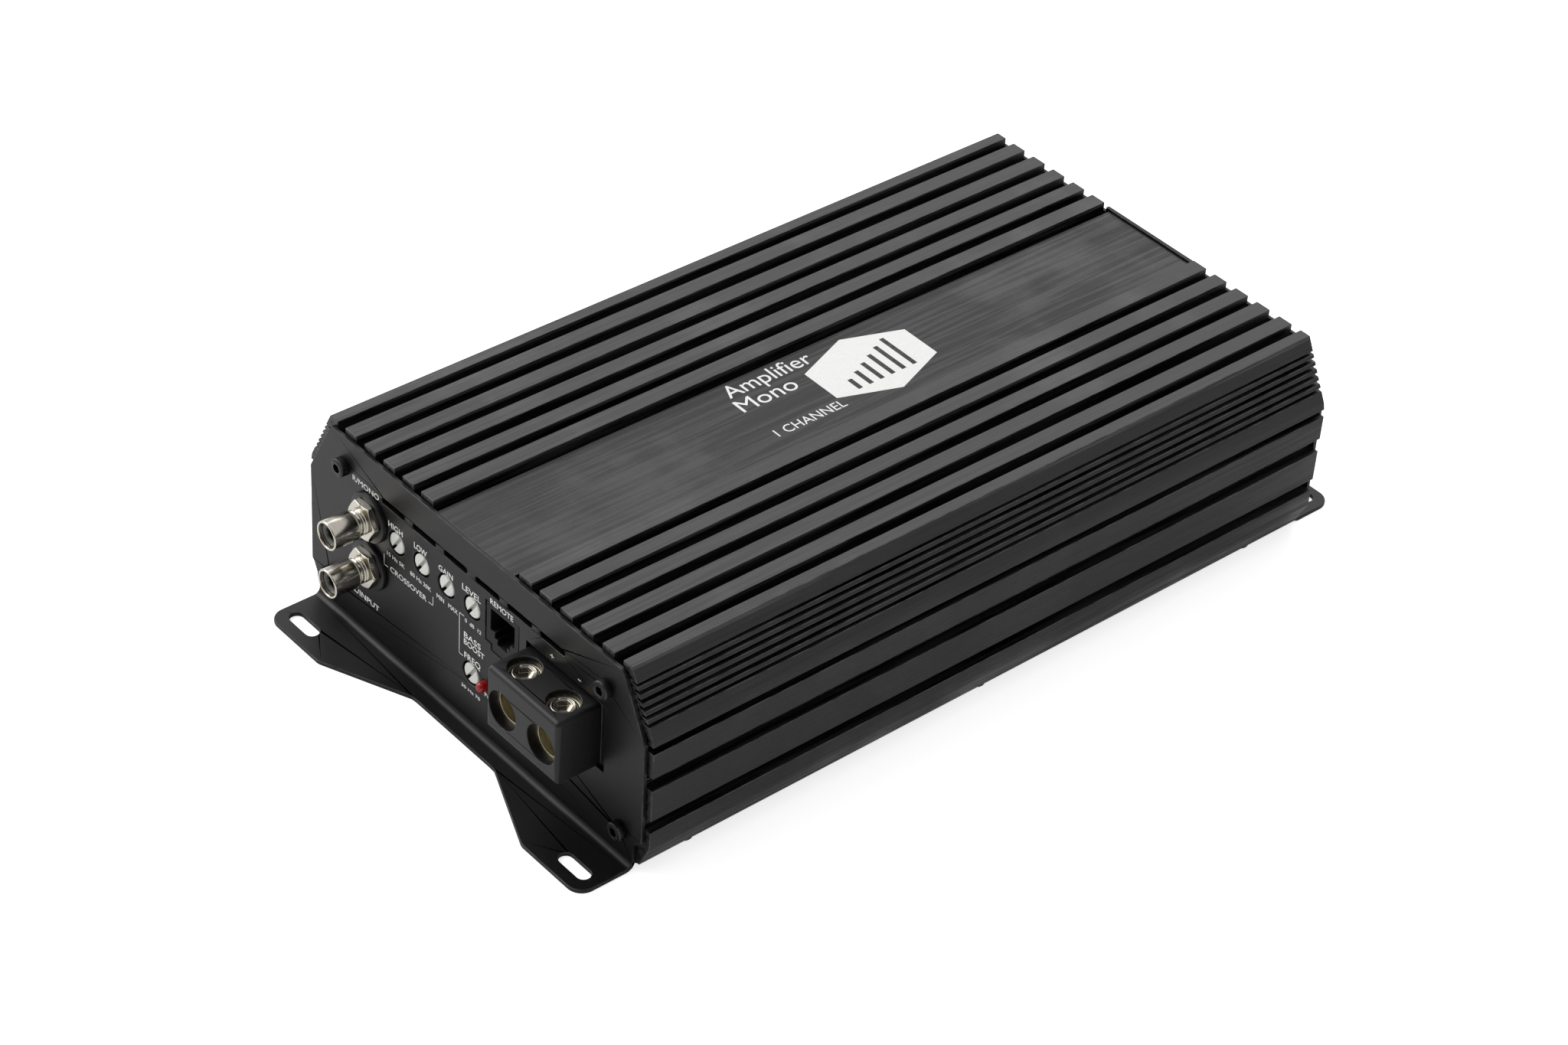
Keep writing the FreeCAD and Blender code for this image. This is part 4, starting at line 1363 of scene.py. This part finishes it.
@dataclass
class FrontLegends:
    """White print on the front plate.

    Attributes:
        film: Thickness of the ink.
        stroke: Width of the bracket lines.
        texts: Every word, measured along X and Z.
        lines: Every bracket line, as x0, z0, x1, z1.
    """

    film: float = 0.03
    stroke: float = 0.22
    texts: tuple[PrintedText, ...] = (
        PrintedText("R/MONO", -51.0, -39.4, 49.35, 1.7),
        PrintedText("HIGH", -35.3, -29.1, 44.1, 1.78),
        PrintedText("LOW", -24.15, -18.7, 44.1, 1.85),
        PrintedText("GAIN", -13.6, -7.55, 43.85, 1.65),
        PrintedText("LEVEL", -3.6, 4.2, 44.0, 1.87),
        PrintedText("REMOTE", 8.1, 17.6, 46.95, 1.7),
        PrintedText("15 Hz 5K", -36.0, -28.3, 34.25, 1.2),
        PrintedText("80 Hz 20K", -25.85, -16.8, 34.15, 1.25),
        PrintedText("MIN   MAX", -14.4, -5.4, 34.1, 1.4),
        PrintedText("0  dB  12", -2.35, 4.5, 34.1, 1.15),
        PrintedText("BASS", -2.7, 4.4, 28.95, 1.76),
        PrintedText("BOOST", -2.7, 5.9, 26.7, 1.76),
        PrintedText("FREQ", -2.48, 4.37, 22.3, 1.9),
        PrintedText("30 Hz 70", -3.6, 4.36, 12.05, 1.0),
        PrintedText("CROSSOVER", -34.6, -18.8, 29.6, 1.68),
        PrintedText("L/INPUT", -50.9, -39.7, 12.4, 1.7),
        PrintedText("PWR", 6.3, 9.9, 15.2, 1.3),
        PrintedText("+", 32.6, 34.2, 45.85, 1.7),
        PrintedText("-", 43.8, 45.0, 45.85, 1.9),
    )
    lines: tuple[tuple[float, float, float, float], ...] = (
        (-37.3, 33.56, -37.3, 30.2), (-37.3, 30.2, -35.7, 30.2),
        (-16.0, 33.0, -16.0, 30.25), (-17.8, 30.25, -16.0, 30.25),
        (-4.66, 35.56, -4.66, 22.3), (-4.66, 35.56, -2.77, 35.56), (-4.66, 22.3, -3.12, 22.3),
    )

    def line(self, x0: float, z0: float, x1: float, z1: float) -> Piece:
        """One printed stroke with rounded ends.

        Args:
            x0: Start, along X.
            z0: Start, along Z.
            x1: End, along X.
            z1: End, along Z.

        Returns:
            The stroke in the XY plane.
        """
        stroke = bar(16, self.stroke, -self.film / 2, self.film / 2)
        with edit_mode(stroke):
            select_points(stroke, lambda p: p.x > 0.001)
            bpy.ops.transform.translate(value=(hypot(x1 - x0, z1 - z0) * MM, 0, 0))
        turn = Matrix.Rotation(atan2(z1 - z0, x1 - x0), 4, "Z")
        return settle(stroke, Matrix.Translation((x0 * MM, z0 * MM, 0)) @ turn)

    def build(self) -> None:
        """Print every word and line."""
        face = span("rca_flange_washers")[0].y + PhonoJacks.washer_height - self.film / 2
        for number, text in enumerate(self.texts, 1):
            word = settle(letters(text, self.film, 0.008), at(text.start, face, text.base, Facing.FRONT))
            deliver(word, f"front_print_{number:02d}", INK)
        for number, ends in enumerate(self.lines, 1):
            deliver(settle(self.line(*ends), at(0, face, 0, Facing.FRONT)), f"front_line_{number:02d}", INK)


@dataclass
class TopPrint:
    """White print on the flat panel between the ribs.

    Attributes:
        panel: Height of the panel.
        film: Thickness of the ink.
        texts: Every line, measured along Y from start to end and along -X from its base.
        emblem_centre: Middle of the emblem.
        emblem_half_width: Half its size across the case.
        emblem_half_length: Half its size along the case.
        bars: Level bars cut out of the emblem.
        bar_width: Width of a level bar.
        bar_foot: Where the bars stand, from the emblem's middle along X.
    """

    panel: float = 60.2
    film: float = 0.03
    texts: tuple[PrintedText, ...] = (
        PrintedText("Amplifier", -26.7, 2.5, 9.6, 5.1),
        PrintedText("Mono", -27.6, -8.2, 2.8, 5.2),
        PrintedText("1 CHANNEL", -26.9, -3.2, -10.7, 3.1),
    )
    emblem_centre: tuple[float, float] = (0.0, 14.2)
    emblem_half_width: float = 13.2
    emblem_half_length: float = 17.8
    bars: int = 6
    bar_width: float = 1.5
    bar_foot: float = 7.0

    def emblem(self) -> Piece:
        """Six-sided badge with a row of rising level bars cut out.

        Returns:
            The badge round the origin.
        """
        badge = bar(6, 2.0, -self.film / 2, self.film / 2)
        corner_reach = self.emblem_half_length * 2 / sqrt(3)
        settle(badge, Matrix.Diagonal((self.emblem_half_width, corner_reach, 1.0, 1.0)))
        pitch = self.emblem_half_length * 1.3 / self.bars
        for number in range(self.bars):
            reach = 3.0 + 11.0 * (number + 1) / self.bars
            slot = bar(4, sqrt(2), -1.0, 1.0)
            settle(slot, Matrix.Rotation(pi / 4, 4, "Z"))
            y = (number - (self.bars - 1) / 2) * pitch
            stretch = Matrix.Diagonal((reach, self.bar_width, 1, 1))
            settle(slot, Matrix.Translation(((self.bar_foot - reach / 2) * MM, y * MM, 0)) @ stretch)
            combine(badge, slot, "DIFFERENCE")
        return badge

    def build(self) -> None:
        """Print the three lines and the badge."""
        surface = self.panel + self.film / 2
        quarter = Matrix.Rotation(pi / 2, 4, "Z")
        for number, text in enumerate(self.texts, 1):
            word = letters(text, self.film)
            settle(word, at(-text.base, text.start, surface) @ quarter)
            deliver(word, f"top_print_{number}", INK)
        badge = settle(self.emblem(), at(*self.emblem_centre, surface))
        deliver(badge, "top_badge", INK)


@dataclass
class Interior:
    """Boards, parts on them and their fixings, which keep their CAD shapes.

    Attributes:
        own: Nodes whose finish isn't the first of their slot.
    """

    own: dict[str, Finish] = field(default_factory=lambda: {"output_inductor": INDUCTOR_WIRE})

    def build(self) -> None:
        """Dress each CAD node that nothing replaced by its slot in the record."""
        by_slot = {finish.slot: finish for finish in FINISHES}
        replaced = {name for piece in bpy.data.objects for name in piece.get("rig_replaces", [])}
        for subpart in frame["record"]["subparts"]:
            node = subpart["node"]
            if node not in replaced:
                dress_node(node, self.own.get(node, by_slot[subpart["material_slot"]]))


# Studio


@dataclass(frozen=True)
class Softbox:
    """A rectangular soft light.

    Attributes:
        name: Its name.
        place: Where it hangs, in metres.
        aim: What it points at, in metres.
        size: Width and height in metres.
        watts: Its power.
    """

    name: str
    place: tuple[float, float, float]
    aim: tuple[float, float, float]
    size: tuple[float, float]
    watts: float

    def hang(self) -> None:
        """Add the light."""
        lamp = bpy.data.lights.new(self.name, "AREA")
        lamp.shape = "RECTANGLE"
        lamp.size, lamp.size_y = self.size
        lamp.energy = self.watts
        holder = bpy.data.objects.new(self.name, lamp)
        bpy.context.collection.objects.link(holder)
        away = Vector(self.place) - Vector(self.aim)
        turn = away.to_track_quat("Z", "Y").to_matrix().to_4x4()
        holder.matrix_world = Matrix.Translation(self.place) @ turn


@dataclass
class Studio:
    """Pale floor, soft lights and the camera.

    Attributes:
        camera_place: Where the camera stands, in metres.
        camera_turn: Its turn about X, Y and Z in degrees.
        lens: Focal length on a 36 mm sensor.
        sky: Brightness of the surroundings.
        backdrop_glow: How much the floor is lifted towards white where it is looked at straight.
        floor_glow: How much it is lifted where the object mirrors it.
        lights: The softboxes.
        card_place: Middle of the black card that shades the viewer's side.
        card_size: Its width and height.
    """

    camera_place: tuple[float, float, float] = (0.609121, -0.577489, 0.664505)
    camera_turn: tuple[float, float, float] = (52.056, -3.256, 49.728)
    lens: float = 89.427
    sky: float = 0.75
    backdrop_glow: float = 0.72
    floor_glow: float = 0.15
    lights: tuple[Softbox, ...] = (
        Softbox("Left softbox", (-1.15, -0.45, 0.95), (0.0, 0.0, 0.03), (1.3, 1.1), 19.0),
        Softbox("Overhead softbox", (-0.75, 0.95, 1.0), (0.0, 0.0, 0.03), (1.3, 0.9), 5.0),
    )
    card_place: tuple[float, float, float] = (1.15, -1.05, 1.3)
    card_size: tuple[float, float] = (2.4, 1.7)

    def build_floor(self) -> None:
        """Lay the pale floor."""
        clear_selection()
        bpy.ops.mesh.primitive_plane_add(size=12.0)
        floor = bpy.context.object
        floor.name = "Floor"
        material = bpy.data.materials.new("Pale floor")
        material.use_nodes = True
        shader = material.node_tree.nodes["Principled BSDF"]
        shader.inputs["Base Color"].default_value = (0.8, 0.8, 0.8, 1.0)
        shader.inputs["Roughness"].default_value = 0.9
        shader.inputs["Specular IOR Level"].default_value = 0.1
        shader.inputs["Emission Color"].default_value = (1.0, 1.0, 1.0, 1.0)
        wiring = Wiring(material.node_tree)
        seen = wiring.add("LightPath").outputs["Is Camera Ray"]
        lift = wiring.math("MULTIPLY", seen, self.backdrop_glow - self.floor_glow)
        glow = wiring.math("ADD", lift, self.floor_glow)
        material.node_tree.links.new(glow, shader.inputs["Emission Strength"])
        floor.data.materials.append(material)

    def build_card(self) -> None:
        """Stand a black card behind the camera, which gives plated parts a dark side."""
        clear_selection()
        bpy.ops.mesh.primitive_plane_add(size=1.0)
        card = bpy.context.object
        card.name = "Black card"
        material = bpy.data.materials.new("Black card")
        material.use_nodes = True
        shader = material.node_tree.nodes["Principled BSDF"]
        shader.inputs["Base Color"].default_value = (0.02, 0.02, 0.02, 1.0)
        shader.inputs["Roughness"].default_value = 0.9
        card.data.materials.append(material)
        turn = Vector(self.card_place).to_track_quat("Z", "Y").to_matrix().to_4x4()
        settle(card, Matrix.Translation(self.card_place) @ turn @ Matrix.Diagonal((*self.card_size, 1.0, 1.0)))

    def build_sky(self) -> None:
        """Light the surroundings evenly."""
        world = bpy.data.worlds.new("Studio")
        world.use_nodes = True
        background = world.node_tree.nodes["Background"]
        background.inputs["Color"].default_value = (1.0, 1.0, 1.0, 1.0)
        background.inputs["Strength"].default_value = self.sky
        bpy.context.scene.world = world

    def build_camera(self) -> None:
        """Set the camera up."""
        camera = bpy.data.cameras.new("Camera")
        camera.lens = self.lens
        camera.sensor_width = 36.0
        camera.clip_start = 0.01
        holder = bpy.data.objects.new("Camera", camera)
        bpy.context.collection.objects.link(holder)
        turn = Euler([radians(angle) for angle in self.camera_turn]).to_matrix().to_4x4()
        holder.matrix_world = Matrix.Translation(self.camera_place) @ turn
        bpy.context.scene.camera = holder

    def build(self) -> None:
        """Set the whole studio up."""
        self.build_floor()
        self.build_card()
        self.build_sky()
        self.build_camera()
        for light in self.lights:
            light.hang()
        bpy.context.scene.view_settings.view_transform = "Standard"


def main() -> None:
    """Build every sub-assembly in order."""
    logging.basicConfig(level=logging.INFO, format="%(message)s")
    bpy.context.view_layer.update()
    for assembly in (
        CaseShell(),
        CapScrews(),
        PhonoJacks(),
        Controls(),
        CableBlock("output", ("output_positive", "output_negative")),
        CableBlock("power", ("power_ground", "power_battery", "power_turn_on")),
        FrontLegends(),
        TopPrint(),
        Interior(),
        Studio(),
    ):
        log.info("%s", type(assembly).__name__)
        assembly.build()


if __name__ == "__main__":
    main()
